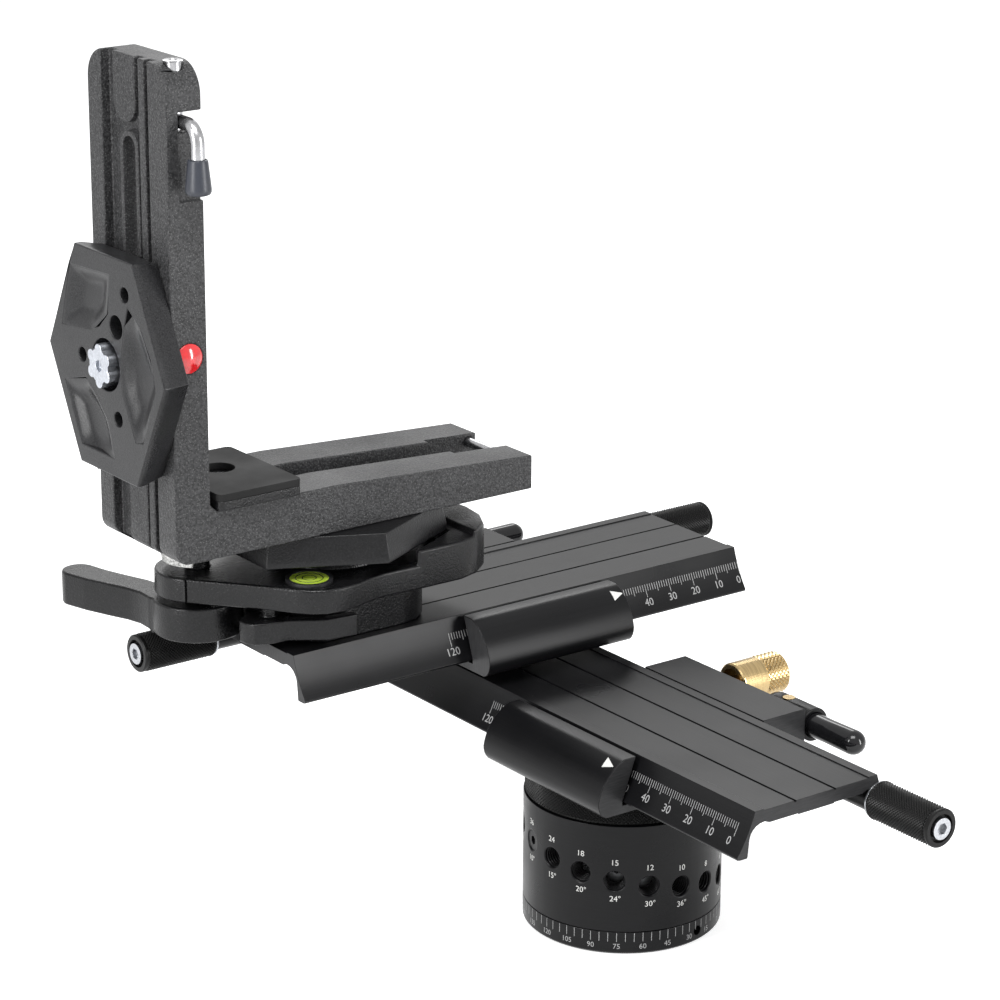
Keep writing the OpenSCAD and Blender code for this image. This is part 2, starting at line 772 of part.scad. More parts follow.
module drum() {
  color([0.08, 0.08, 0.09]) difference() {
    union() {
      translate([0, 0, drum_z]) cylinder(r = pan_r, h = drum_h);
      translate([0, 0, neck_z]) cylinder(r = neck_r, h = neck_h);
    }
    translate([0, 0, drum_z - over]) cylinder(r = pan_r - drum_wall, h = drum_h - roof_t + over);
    translate([0, 0, drum_z]) cylinder(r = spindle_r + run_gap, h = drum_h + over);
    translate([0, 0, neck_z]) cylinder(r = neck_r - neck_wall, h = neck_h + over);
    for (row = [0:len(index_counts) - 1])
      at_index(row) translate([0, 0, core_r]) {
        cylinder(r = index_hole_r, h = pan_r);
        translate([0, 0, pan_r - core_r - hole_bevel])
          cylinder(r1 = index_hole_r, r2 = index_hole_r + 2 * hole_bevel, h = 2 * hole_bevel);
      }
    at_neck_screws() translate([0, 0, -neck_screw_len]) cylinder(r = neck_screw_r, h = 2 * neck_screw_len);
    rotate([0, 0, shoe_angle]) translate([0, -shoe_w / 2 - slide_gap, neck_z + shoe_lift - slide_gap])
      cube([2 * neck_r, shoe_w + 2 * slide_gap, shoe_t + 2 * slide_gap]);
  }
}

module brake_shoe() {
  color("peru") rotate([0, 0, shoe_angle]) difference() {
    intersection() {
      translate([0, -shoe_w / 2, neck_z + shoe_lift]) cube([neck_r, shoe_w, shoe_t]);
      translate([0, 0, neck_z]) cylinder(r = neck_r - slide_gap, h = neck_h);
    }
    translate([0, 0, neck_z]) cylinder(r = nut_r + slide_gap, h = neck_h);
  }
}

module at_plunger() {
  rotate([0, 0, plunger_angle]) translate([core_r + core_gap + over, 0, plunger_z]) rotate([0, 90, 0]) children();
}

module plunger_body() {
  color([0.15, 0.15, 0.16]) at_plunger() difference() {
    cylinder(r = index_hole_r, h = plunger_len);
    translate([0, 0, -over]) cylinder(r = pin_r + run_gap, h = plunger_len);
    translate([0, 0, pin_neck]) cylinder(r = pin_head_r + run_gap, h = plunger_len - pin_neck - plunger_hex_depth);
    translate([0, 0, plunger_len - plunger_hex_depth])
      cylinder(r = plunger_hex_r, h = plunger_hex_depth + over, $fn = 6);
  }
}

module index_pin() {
  nose = core_gap + over + dimple_depth - slide_gap;
  color("gainsboro") at_plunger() {
    translate([0, 0, -nose]) cylinder(r1 = dimple_tip_r - slide_gap, r2 = dimple_r - slide_gap, h = dimple_depth);
    translate([0, 0, dimple_depth - nose]) cylinder(r1 = dimple_r - slide_gap, r2 = pin_r, h = core_gap / 2);
    translate([0, 0, dimple_depth - nose + core_gap / 2])
      cylinder(r = pin_r, h = pin_neck + nose - dimple_depth - core_gap / 2);
    translate([0, 0, pin_neck]) cylinder(r = pin_head_r, h = pin_head_t);
  }
}

module plunger_spring() {
  color("silver") at_plunger() translate([0, 0, pin_neck + pin_head_t + pin_travel + slide_gap])
    coil(spring_wire, pin_head_r - spring_wire, 2,
      plunger_len - plunger_hex_depth - pin_neck - pin_head_t - pin_travel - slide_gap);
}

module lower_clamp() {
  color([0.13, 0.13, 0.14]) difference() {
    on_lower() clamp_solid();
    at_neck_screws() {
      translate([0, 0, -neck_screw_len]) cylinder(r = neck_screw_r + run_gap, h = 2 * neck_screw_len);
      translate([0, 0, -neck_screw_head_t + neck_screw_sink - over])
        cylinder(r = neck_screw_head_r + slide_gap, h = neck_screw_sink + 2 * over);
    }
  }
}

module lower_clamp_screws() {
  color([0.55, 0.55, 0.56]) at_neck_screws() difference() {
    union() {
      cylinder(r = neck_screw_head_r, h = neck_screw_head_t);
      translate([0, 0, -neck_screw_len + over]) cylinder(r = neck_screw_r, h = neck_screw_len);
    }
    translate([0, 0, neck_screw_head_t / 2]) cylinder(r = neck_screw_r, h = neck_screw_head_t, $fn = 6);
  }
}

module lock_ring() {
  color([0.06, 0.06, 0.06]) translate([0, 0, neck_z + seam]) difference() {
    union() {
      cylinder(r1 = pan_r - edge_bevel, r2 = pan_r - edge_bevel / 2, h = edge_bevel);
      translate([0, 0, edge_bevel]) cylinder(r = pan_r - edge_bevel / 2, h = neck_h - seam - lock_gap - 2 * edge_bevel);
      translate([0, 0, neck_h - seam - lock_gap - edge_bevel])
        cylinder(r1 = pan_r - edge_bevel / 2, r2 = pan_r - 3 * edge_bevel / 2, h = edge_bevel);
    }
    translate([0, 0, -over]) cylinder(r = neck_r + run_gap, h = neck_h + over);
  }
}

module lower_plate() {
  color([0.12, 0.12, 0.13]) difference() {
    on_lower() slide_plate(lower_shift);
    at_bolts() {
      cylinder(r = bolt_r + run_gap, h = bolt_len);
      translate([0, 0, -over]) cylinder(r = bolt_head_r + slide_gap, h = over);
      cylinder(r1 = bolt_head_r + slide_gap, r2 = bolt_r + slide_gap, h = bolt_head_t);
    }
  }
}

module spacer() {
  color([0.1, 0.1, 0.1]) difference() {
    translate([line_x, line_y, lower_top_z - lip_h]) cylinder(r = spacer_r, h = spacer_h + lip_h);
    at_bolts() cylinder(r = bolt_r + run_gap, h = bolt_len);
  }
}

module upper_clamp() {
  color([0.13, 0.13, 0.14]) difference() {
    on_upper() clamp_solid();
    at_bolts() cylinder(r = bolt_r, h = bolt_len + over);
  }
}

module upper_clamp_bolts() {
  color([0.5, 0.5, 0.52]) at_bolts() difference() {
    countersunk(bolt_r, bolt_head_r, bolt_head_t, bolt_len);
    translate([0, 0, -over]) cylinder(r = bolt_r * set_hex_share, h = bolt_head_t + over, $fn = 6);
  }
}

module upper_plate() {
  color([0.12, 0.12, 0.13]) difference() {
    on_upper() slide_plate(upper_shift);
    translate([foot_x, line_y, upper_top_z - slab_t - rib_h]) {
      cylinder(r = adapter_screw_r + run_gap, h = adapter_screw_len);
      translate([0, 0, -over]) cylinder(r = adapter_screw_head_r + slide_gap, h = over);
      cylinder(r1 = adapter_screw_head_r + slide_gap, r2 = adapter_screw_r + slide_gap, h = adapter_screw_head_t);
    }
  }
}

module adapter_screw() {
  color([0.5, 0.5, 0.52]) translate([foot_x, line_y, upper_top_z - slab_t - rib_h]) difference() {
    countersunk(adapter_screw_r, adapter_screw_head_r, adapter_screw_head_t, adapter_screw_len);
    translate([0, 0, -over]) cylinder(r = adapter_screw_r * set_hex_share, h = adapter_screw_head_t + over, $fn = 6);
  }
}

module adapter_outline() {
  translate([adapter_x, line_y]) polygon(scaled(adapter_outline_shares, adapter_half_l, adapter_half_w));
  translate([cam_x, cam_y]) circle(cam_boss_r);
}

// The hexagon of a plate as seen from its wide side, grown by gap
module hex_outline(gap) {
  intersection_for (side = [-1, 0, 1]) {
    turn = side == 0 ? 90 : side * hex_side_angle;
    half = (side == 0 ? hex_flat : hex_side_flat) + gap;
    rotate(turn) square([2 * half, 4 * hex_point], center = true);
  }
}

module left_of(x) {
  translate([x - 4 * adapter_half_l, line_y - 2 * adapter_half_w]) square([4 * adapter_half_l, 4 * adapter_half_w]);
}

module adapter_body() {
  color([0.1, 0.1, 0.11]) difference() {
    union() {
      translate([0, 0, adapter_z]) linear_extrude(adapter_t) adapter_outline();
      translate([0, 0, adapter_z]) linear_extrude(block_h) difference() {
        adapter_outline();
        translate([hex_x, hex_y]) rotate(hex_turn) hex_outline(wall_gap);
        left_of(wall_left);
      }
      translate([0, 0, adapter_z]) linear_extrude(block_lip_h) difference() {
        adapter_outline();
        left_of(block_lip_left);
      }
      translate([foot_x, line_y, upper_top_z - lip_h]) linear_extrude(foot_h + lip_h)
        polygon(scaled(foot_outline_shares, foot_half_l, foot_half_w));
      translate([hex_x, hex_y, adapter_top_z - rim_h - over]) cylinder(r = seat_r, h = seat_h + rim_h + over);
      translate([bubble_x, bubble_y, adapter_top_z - bubble_h]) cylinder(r = bubble_r + bubble_wall, h = bubble_h);
    }
    translate([foot_x, line_y, upper_top_z - over]) cylinder(r = adapter_screw_r, h = adapter_screw_len);
    translate([bubble_x, bubble_y, adapter_top_z - bubble_h + bubble_up]) cylinder(r = bubble_r, h = bubble_h);
    translate([cam_x, cam_y, adapter_z - over]) cylinder(r = cam_shaft_r + run_gap, h = adapter_t + 2 * over);
    translate([safety_x, safety_y, adapter_z - over]) cylinder(r = safety_pivot_r + run_gap, h = adapter_t / 2 + over);
  }
}

module bubble_housing() {
  color([0.05, 0.05, 0.05]) translate([bubble_x, bubble_y, adapter_top_z - bubble_h + bubble_up]) difference() {
    cylinder(r = bubble_r, h = bubble_h);
    translate([0, 0, bubble_h - vial_h]) cylinder(r = bubble_r - bubble_wall, h = bubble_h);
  }
}

module bubble_vial() {
  color([0.75, 0.85, 0.2]) translate([bubble_x, bubble_y, adapter_top_z - vial_h + bubble_up])
    cylinder(r = bubble_r - bubble_wall, h = vial_h - slide_gap);
}

module lock_cam() {
  cam_h = bracket_z - free_gap - adapter_top_z - cam_lift;
  color([0.78, 0.78, 0.76]) translate([cam_x, cam_y, adapter_top_z + cam_lift]) difference() {
    union() {
      cylinder(r1 = cam_low_r, r2 = cam_high_r, h = cam_h);
      intersection() {
        cylinder(r1 = cam_lobe_low_r, r2 = cam_lobe_high_r, h = cam_h);
        linear_extrude(cam_h) lobe_sector(4 * cam_lobe_high_r);
      }
    }
    rotate([0, 0, cam_flat_angle]) translate([cam_flat, -2 * cam_high_r, -over])
      cube([cam_high_r, 4 * cam_high_r, cam_h + 2 * over]);
    translate([0, 0, -over]) cylinder(r = cam_shaft_r, h = cam_h / 2);
  }
}

module lobe_sector(reach) {
  steps = 4;
  turn = cam_lobe_to - cam_lobe_from;
  polygon(concat([[0, 0]], [for (i = [0:steps]) turned([reach, 0], cam_lobe_from + turn * i / steps)]));
}

module lever_link(p, q, r_p, r_q) {
  hull() {
    translate(p) circle(r_p, $fn = 32);
    translate(q) circle(r_q, $fn = 32);
  }
}

module lock_lever() {
  path = scaled(lever_path_shares, hub_r, hub_r);
  steps = len(path) - 1;
  color([0.11, 0.11, 0.12]) translate([cam_x, cam_y, adapter_z - hub_gap - hub_h]) {
    cylinder(r = hub_r, h = hub_h);
    translate([0, 0, hub_h]) cylinder(r = cam_shaft_r, h = hub_gap + adapter_t + cam_lift + hex_t / 3);
    translate([0, 0, hub_h - lever_t]) linear_extrude(lever_t) difference() {
      for (i = [0:steps - 1])
        lever_link(path[i], path[i + 1], lever_half + (lever_tip_half - lever_half) * i / steps,
          lever_half + (lever_tip_half - lever_half) * (i + 1) / steps);
      circle(hub_r - over);
    }
  }
}

module safety_lever() {
  top = adapter_z - safety_gap;
  color([0.12, 0.12, 0.13]) translate([safety_x, safety_y, 0]) {
    translate([0, 0, top - safety_h]) linear_extrude(safety_h)
      polygon(scaled(safety_outline_shares, safety_size, safety_size));
    translate([0, 0, top]) cylinder(r = safety_pivot_r, h = safety_gap + adapter_t / 2 - slide_gap);
  }
}

// Hexagonal plate with its wide face on z = 0 and its sides drawn in towards the top
module hex_plate() {
  difference() {
    intersection_for (side = [-1, 0, 1]) {
      turn = side == 0 ? 90 : side * hex_side_angle;
      half = side == 0 ? hex_flat : hex_side_flat;
      rotate([0, 0, turn]) translate([0, 2 * hex_point, 0]) rotate([90, 0, 0]) linear_extrude(4 * hex_point)
        polygon([[-half, 0], [half, 0], [half, hex_t / 4], [half - hex_taper, hex_t], [-half + hex_taper, hex_t],
          [-half, hex_t / 4]]);
    }
    translate([0, 0, -over]) cylinder(r = hex_recess_r, h = hex_recess_depth + over);
    translate([0, 0, -over]) cylinder(r = hex_screw_r + run_gap, h = hex_t + 2 * over);
    for (shares = hex_pocket_shares) hex_pocket(shares);
    for (hole = hex_holes) translate([hole[0], hole[1], -over]) cylinder(r = hole[2], h = hex_t + 2 * over, $fn = 32);
  }
}

hex_pocket_shares = [
  [[0.58, 0.8], [-0.1, 0.84], [-0.06, 0.48], [0.1, 0.33], [0.24, 0.28], [0.74, 0.22]],
  [[0.72, -0.3], [0.36, -0.2], [0.18, -0.32], [0, -0.5], [-0.1, -0.84], [0.1, -0.84], [0.46, -0.84]],
  [[-0.4, 0.6], [-0.62, 0.44], [-0.76, 0.22], [-0.84, -0.04], [-0.6, -0.58], [-0.48, -0.6], [-0.28, -0.22], [-0.27, 0.1],
    [-0.34, 0.42]]];
hex_pocket_depth = 3;
// Small holes of a hexagonal plate: place across, place along and radius
hex_holes = [[-12, 23.8, 2.3], [-6.6, 12.9, 3.6], [13.6, 0.2, 2.2], [-6.5, -15.4, 2.3]];

module hex_pocket(shares) {
  translate([0, 0, -over]) linear_extrude(hex_pocket_depth + over) polygon(scaled(shares, hex_flat, hex_point));
}

module arm_hex_plate() {
  color([0.08, 0.08, 0.09]) difference() {
    translate([hex_x, hex_y, hex_z]) rotate([0, 0, hex_turn]) hex_plate();
    translate([arm_screw_x, line_y, bracket_z - arm_screw_depth]) cylinder(r = hex_screw_r, h = hex_t + over);
  }
}

module arm_plate_screw() {
  color([0.6, 0.6, 0.6]) translate([arm_screw_x, line_y, bracket_z]) difference() {
    union() {
      translate([0, 0, -arm_screw_depth]) cylinder(r = hex_screw_r, h = arm_screw_depth + slot_shelf_t);
      translate([0, 0, slot_shelf_t]) cylinder(r = arm_screw_head_r, h = arm_screw_head_t);
    }
    translate([0, 0, slot_shelf_t + arm_screw_head_t / 2]) cylinder(r = socket_hex_r, h = arm_screw_head_t, $fn = 6);
  }
}

module bracket_front() {
  polygon(concat(
    [[arm_end, bracket_z], [arm_end, bracket_z + arm_end_t]],
    [[upright_inner + pad_len + pad_travel, arm_top_z], [upright_inner + foot_corner_r / 2, arm_top_z]],
    [[upright_inner, arm_top_z + foot_corner_r / 2], [upright_inner, bracket_top_z], [bracket_x, bracket_top_z]],
    arc_points([bracket_x, bracket_z + foot_corner_r], [bracket_x + foot_corner_r, bracket_z], -foot_corner_sag, 6)));
}

module bracket_side() {
  half = bracket_w / 2;
  corner = half - top_corner_r;
  translate([0, bracket_z - over]) difference() {
    translate([-half, 0]) square([bracket_w, bracket_h + over]);
    for (side = [-1, 1])
      difference() {
        translate([side * half - top_corner_r, bracket_h + over - top_corner_r])
          square([2 * top_corner_r, 2 * top_corner_r]);
        translate([side * corner, bracket_h + over - top_corner_r]) circle(top_corner_r);
      }
  }
}

// Channel down the back of the upright, with the slot's frame, a rib and the lever's boss left standing in it
module back_channel_cut() {
  past = bracket_h + 2 * over;
  difference() {
    translate([bracket_x - over, line_y + back_channel[0], bracket_z - over])
      cube([back_channel_depth + over, back_channel[1] - back_channel[0], past]);
    round_slot_x(slot_frame_half, -2 * over, upright_slot_high + slot_frame_half - slot_w / 2,
      bracket_x + back_raise, bracket_x + back_channel_depth + over);
    translate([bracket_x + back_raise, line_y + back_rib[0], bracket_z - 2 * over])
      cube([back_channel_depth + over, back_rib[1] - back_rib[0], past + 2 * over]);
    translate([bracket_x + back_boss_raise, line_y + back_boss_v, bracket_top_z - back_boss_down]) {
      translate([0, -back_boss_half, back_boss_half]) cube([back_channel_depth + over, 2 * back_boss_half, past]);
      translate([0, 0, back_boss_half]) rotate([0, 90, 0]) cylinder(r = back_boss_half, h = back_channel_depth + over);
    }
  }
}

module round_slot_x(half, low, high, x0, x1) {
  translate([x0, line_y, bracket_z]) {
    translate([0, -half, low]) cube([x1 - x0, 2 * half, high - low - half]);
    translate([0, 0, high - half]) rotate([0, 90, 0]) cylinder(r = half, h = x1 - x0);
  }
}

module l_bracket() {
  color([0.2, 0.2, 0.21]) difference() {
    intersection() {
      translate([0, line_y + bracket_w / 2, 0]) rotate([90, 0, 0]) linear_extrude(bracket_w) bracket_front();
      translate([bracket_x - over, line_y, 0]) rotate([90, 0, 90]) linear_extrude(arm_len + 2 * over) bracket_side();
    }
    translate([bracket_x + slot_start, line_y - slot_w / 2, bracket_z - over])
      cube([arm_len, slot_w, 2 * arm_t]);
    translate([upright_inner, line_y - arm_slot_half, bracket_z + slot_shelf_t])
      cube([arm_len, 2 * arm_slot_half, arm_t]);
    translate([arm_end - fork_len, line_y - fork_half, bracket_z - over]) cube([arm_len, 2 * fork_half, 2 * arm_t]);
    translate([arm_end - cross_bar_in, line_y - fork_half - 2 * cross_bar_r, bracket_z + arm_end_t - cross_bar_drop])
      rotate([-90, 0, 0]) cylinder(r = cross_bar_r, h = 2 * fork_half + 4 * cross_bar_r);
    round_slot_x(slot_w / 2, upright_slot_low, upright_slot_high, bracket_x - over, upright_inner + over);
    round_slot_x(nut_channel_half, upright_slot_low, upright_slot_high + slot_frame_half,
      upright_inner - nut_channel_depth, upright_inner + over);
    back_channel_cut();
    lever_notch();
    translate([upright_inner - upright_t / 2, line_y - bracket_w / 2 - over, badge_z]) rotate([-90, 0, 0])
      cylinder(r = badge_r + slide_gap, h = badge_seat + over);
    camera_screw_room();
  }
}

// Gate for the bent lock lever near the top of the upright, the dent behind its sleeve, and its shaft's bore
module lever_notch() {
  front = line_y - bracket_w / 2;
  translate([bracket_x + notch_skin, front - over, bracket_top_z - notch_dent_down])
    cube([upright_t, notch_dent + over, notch_dent_down - notch_top_down]);
  translate([bracket_x + notch_skin, front - over, bracket_top_z - notch_top_down - notch_gate])
    cube([upright_t, notch_depth + over, notch_gate]);
  translate([pin_lever_x, pin_lever_y, bracket_top_z - pin_bore_down])
    cylinder(r = pin_shaft_r + run_gap, h = pin_bore_down + over);
}

// Room under the arm for the head of the captive camera screw
module camera_screw_room() {
  translate([pad_x, line_y - camera_screw_head_r - free_gap, bracket_z - over])
    cube([pad_travel, 2 * (camera_screw_head_r + free_gap), slot_shelf_t + 2 * over]);
  for (end = [0, pad_travel])
    translate([pad_x + end, line_y, bracket_z - over])
      cylinder(r = camera_screw_head_r + free_gap, h = slot_shelf_t + 2 * over);
}

module badge() {
  color([0.8, 0.05, 0.05])
    translate([upright_inner - upright_t / 2, line_y - bracket_w / 2 + badge_seat, badge_z]) rotate([90, 0, 0]) {
      cylinder(r = badge_r, h = badge_seat);
      translate([0, 0, badge_seat]) rotate_extrude()
        polygon(concat([[0, 0]], arc_points([badge_r, 0], [0, badge_h], -badge_sag, 8)));
    }
}

module cross_bar() {
  reach = fork_half + 2 * cross_bar_r;
  color([0.8, 0.8, 0.8])
    translate([arm_end - cross_bar_in, line_y - reach, bracket_z + arm_end_t - cross_bar_drop]) rotate([-90, 0, 0])
      cylinder(r = cross_bar_r, h = 2 * reach);
}

module side_hex_plate() {
  color([0.08, 0.08, 0.09]) translate([bracket_x - slide_gap - hex_t, line_y, side_hex_z]) rotate([90, 0, 90])
    hex_plate();
}

module star_screw() {
  color([0.75, 0.77, 0.8]) translate([bracket_x - 2 * slide_gap - hex_t + hex_recess_depth, line_y, side_hex_z])
    rotate([0, 90, 0]) {
    difference() {
      translate([0, 0, -star_t]) linear_extrude(star_t) {
        circle(star_core_r);
        for (i = [0:star_lobes - 1])
          rotate(360 * i / star_lobes) translate([star_r - star_lobe_r, 0]) circle(star_lobe_r);
      }
      translate([0, 0, -star_t - over]) cylinder(r = socket_hex_r, h = socket_depth + over, $fn = 6);
    }
    cylinder(r = hex_screw_r, h = hex_t - hex_recess_depth + upright_t - slide_gap);
    translate([0, 0, hex_t - hex_recess_depth + upright_t - nut_channel_depth + 3 * slide_gap])
      cylinder(r = slot_nut_r, h = slot_nut_t);
  }
}

module pad_outline() {
  a = pad_len / 2;
  b = pad_w / 2;
  sag = pad_corner_r * (1 - sqrt(1 / 2));
  polygon(concat(
    arc_points([-a, -b + pad_corner_r], [-a + pad_corner_r, -b], -sag, 4),
    arc_points([a - pad_corner_r, -b], [a, -b + pad_corner_r], -sag, 4),
    arc_points([a, b - pad_corner_r], [a - pad_corner_r, b], -sag, 4),
    arc_points([-a + pad_corner_r, b], [-a, b - pad_corner_r], -sag, 4)));
}

module camera_plate() {
  color([0.15, 0.15, 0.15]) translate([pad_x, line_y + pad_shift, arm_top_z]) difference() {
    translate([0, 0, slide_gap]) linear_extrude(pad_plate_t - slide_gap) pad_outline();
    translate([0, -pad_shift, -over]) cylinder(r = camera_screw_r + slide_gap, h = pad_plate_t + 2 * over);
  }
}

module camera_pad() {
  color([0.07, 0.07, 0.07]) translate([pad_x, line_y + pad_shift, arm_top_z + pad_plate_t]) difference() {
    linear_extrude(pad_rubber_t) pad_outline();
    translate([0, -pad_shift, -over]) cylinder(r = pad_hole_r, h = pad_rubber_t + 2 * over);
  }
}

module camera_screw() {
  top = arm_top_z + pad_plate_t + pad_rubber_t - camera_screw_sink;
  color([0.6, 0.6, 0.6]) translate([pad_x, line_y, bracket_z + slide_gap]) {
    cylinder(r = camera_screw_head_r, h = camera_screw_head_t);
    cylinder(r = camera_screw_r, h = top - bracket_z - slide_gap);
  }
}

module pin_lever() {
  z = bent_rod_z;
  color([0.75, 0.75, 0.75]) {
    translate([pin_lever_x, pin_lever_y, bracket_top_z - pin_bore_down + pin_foot])
      cylinder(r = pin_shaft_r, h = pin_bore_down - pin_foot + slide_gap);
    translate([pin_lever_x, pin_lever_y, bracket_top_z + slide_gap]) cylinder(r = pin_cap_r, h = pin_cap_t);
    translate([pin_lever_x, pin_lever_y, z]) rotate([90, 0, 0]) cylinder(r = bent_rod_r, h = bent_reach);
    translate([pin_lever_x, pin_lever_y - bent_reach, z]) sphere(bent_rod_r);
    translate([pin_lever_x, pin_lever_y - bent_reach, z - bent_drop - sleeve_grip]) cylinder(r = bent_rod_r, h = bent_drop + sleeve_grip);
  }
}

module lever_sleeve() {
  z = bent_rod_z - bent_drop;
  color([0.08, 0.09, 0.12]) translate([pin_lever_x, pin_lever_y - bent_reach, z - sleeve_len]) difference() {
    cylinder(r1 = sleeve_low_r, r2 = sleeve_top_r, h = sleeve_len);
    translate([0, 0, sleeve_len - sleeve_grip]) cylinder(r = bent_rod_r, h = sleeve_grip + over);
  }
}

module lower_washers() { color("silver") on_lower() screw_washers(lower_shift); }
module lower_lead_screw() { color("silver") on_lower() lead_rod(lower_shift); }
module lower_screw_knobs() { color([0.05, 0.05, 0.05]) on_lower() screw_knobs(lower_shift); }
module lower_knob_screws() { color("silver") on_lower() knob_screws(lower_shift); }
module lower_half_nut() { color("goldenrod") on_lower() half_nut(); }
module lower_nut_spring() { color("silver") on_lower() nut_spring(); }
module lower_lever_bar() { color([0.1, 0.1, 0.1]) on_lower() lever_bar(); }
module lower_lever_pin() { color("gold") on_lower() lever_pin(); }
module lower_lever_grip() { color([0.03, 0.03, 0.03]) on_lower() lever_grip(); }
module lower_lock_knob() { color("gold") on_lower() brass_knob(); }
module lower_lock_shoe() { color("peru") on_lower() lock_shoe(); }

module upper_washers() { color("silver") on_upper() screw_washers(upper_shift); }
module upper_lead_screw() { color("silver") on_upper() lead_rod(upper_shift); }
module upper_screw_knobs() { color([0.05, 0.05, 0.05]) on_upper() screw_knobs(upper_shift); }
module upper_knob_screws() { color("silver") on_upper() knob_screws(upper_shift); }
module upper_half_nut() { color("goldenrod") on_upper() half_nut(); }
module upper_nut_spring() { color("silver") on_upper() nut_spring(); }
module upper_lever_bar() { color([0.1, 0.1, 0.1]) on_upper() lever_bar(); }
module upper_lever_pin() { color("gold") on_upper() lever_pin(); }
module upper_lever_grip() { color([0.03, 0.03, 0.03]) on_upper() lever_grip(); }
module upper_lock_knob() { color("gold") on_upper() brass_knob(); }
module upper_lock_shoe() { color("peru") on_upper() lock_shoe(); }

base_ring();
base_set_screw();
index_core();
spindle();
spindle_nut();
drum();
brake_shoe();
plunger_body();
plunger_spring();
lower_clamp();
lower_clamp_screws();
lock_ring();
index_pin();
lower_plate();
lower_washers();
spacer();
upper_clamp();
upper_clamp_bolts();
lower_lead_screw();
lower_screw_knobs();
lower_knob_screws();
lower_half_nut();
lower_nut_spring();
lower_lever_bar();
lower_lever_pin();
lower_lever_grip();
lower_lock_knob();
lower_lock_shoe();
upper_plate();
upper_washers();
upper_lead_screw();
upper_screw_knobs();
upper_knob_screws();
upper_half_nut();
upper_nut_spring();
upper_lever_bar();
upper_lever_pin();
upper_lever_grip();
upper_lock_knob();
upper_lock_shoe();
adapter_body();
adapter_screw();
bubble_housing();
bubble_vial();
lock_lever();
lock_cam();
safety_lever();
l_bracket();
arm_hex_plate();
arm_plate_screw();
badge();
cross_bar();
side_hex_plate();
star_screw();
camera_plate();
camera_pad();
camera_screw();
pin_lever();
lever_sleeve();
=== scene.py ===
# %% [markdown]
# # A multi-row panoramic head
# The head holds a camera over the point it has to turn about. From the bottom up it has an indexed
# rotation unit, two slides at right angles, a quick release and an L-shaped bracket. The solid model
# already has every piece in its place, so this lesson starts from it and adds what a lathe, a knurling
# wheel, an engraver and a coating shop would add.

# %% Load the solid model as the frame
import math
import bmesh
import bpy
import numpy as np
from mathutils import Matrix, Vector


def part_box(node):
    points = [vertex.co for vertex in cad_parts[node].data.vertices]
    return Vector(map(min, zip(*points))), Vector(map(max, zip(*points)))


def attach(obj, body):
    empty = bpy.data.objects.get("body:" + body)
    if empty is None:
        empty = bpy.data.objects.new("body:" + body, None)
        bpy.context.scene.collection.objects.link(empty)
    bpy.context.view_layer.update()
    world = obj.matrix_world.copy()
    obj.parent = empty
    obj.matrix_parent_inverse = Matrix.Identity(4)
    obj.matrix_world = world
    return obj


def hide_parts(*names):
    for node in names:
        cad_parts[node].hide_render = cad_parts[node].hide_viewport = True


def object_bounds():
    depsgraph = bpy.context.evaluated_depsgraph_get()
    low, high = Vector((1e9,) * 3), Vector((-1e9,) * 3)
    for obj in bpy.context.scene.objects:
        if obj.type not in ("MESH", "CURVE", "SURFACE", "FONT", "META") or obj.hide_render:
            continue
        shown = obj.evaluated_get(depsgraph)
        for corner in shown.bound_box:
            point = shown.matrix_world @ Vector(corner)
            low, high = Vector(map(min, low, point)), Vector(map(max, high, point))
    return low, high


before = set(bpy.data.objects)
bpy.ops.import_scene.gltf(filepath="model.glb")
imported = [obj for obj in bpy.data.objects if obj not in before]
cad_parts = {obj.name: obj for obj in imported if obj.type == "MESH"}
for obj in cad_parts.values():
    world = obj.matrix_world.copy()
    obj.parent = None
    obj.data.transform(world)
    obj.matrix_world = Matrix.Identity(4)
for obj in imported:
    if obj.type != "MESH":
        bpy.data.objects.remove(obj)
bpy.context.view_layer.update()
MM = 0.001

# %% [markdown]
# ## Camera
# The millimetre scales on both plates fix the photograph's view: the camera stood 1.1 m away, looked
# down by 18 degrees and was turned 53 degrees from the upper slide. A long lens keeps the lines nearly
# parallel. The three directions of the view are written as numpy vectors and become the camera's matrix.

# %% Place the camera
YAW, PITCH, ROLL = (math.radians(a) for a in (53.30, 18.02, 0.30))
CAMERA_AT, LENS, SENSOR = (-0.6284, -0.7772, 0.4629), 123.26, 36
view_way = np.array([math.cos(YAW) * math.cos(PITCH), math.sin(YAW) * math.cos(PITCH), -math.sin(PITCH)])
level_right = np.array([math.sin(YAW), -math.cos(YAW), 0.0])
level_up = np.cross(level_right, view_way)
view_right = math.cos(ROLL) * level_right + math.sin(ROLL) * level_up
view_up = -math.sin(ROLL) * level_right + math.cos(ROLL) * level_up

camera_data = bpy.data.cameras.new("camera")
camera_data.sensor_width = SENSOR
camera_data.lens = LENS
camera_data.clip_start = 0.05
camera = bpy.data.objects.new("camera", camera_data)
bpy.context.scene.collection.objects.link(camera)
rows = np.stack([view_right, view_up, -view_way], axis=1).tolist()
camera.matrix_world = Matrix.Translation(CAMERA_AT) @ Matrix(rows).to_4x4()
bpy.context.scene.camera = camera
print("camera looks along", view_way.round(3))

# %% [markdown]
# ## Light
# Product photographs of black metal are lit by large soft boxes: dark metal shows almost nothing but
# their reflections. One box hangs above. A tall narrow one on the left and one in front draw the bright
# lines along the round parts, and a weak one behind lifts the far edges off the wall.

# %% Soft boxes
scene = bpy.context.scene
scene.view_settings.view_transform = "Standard"
AIM = Vector((-0.02, 0.04, 0.12))


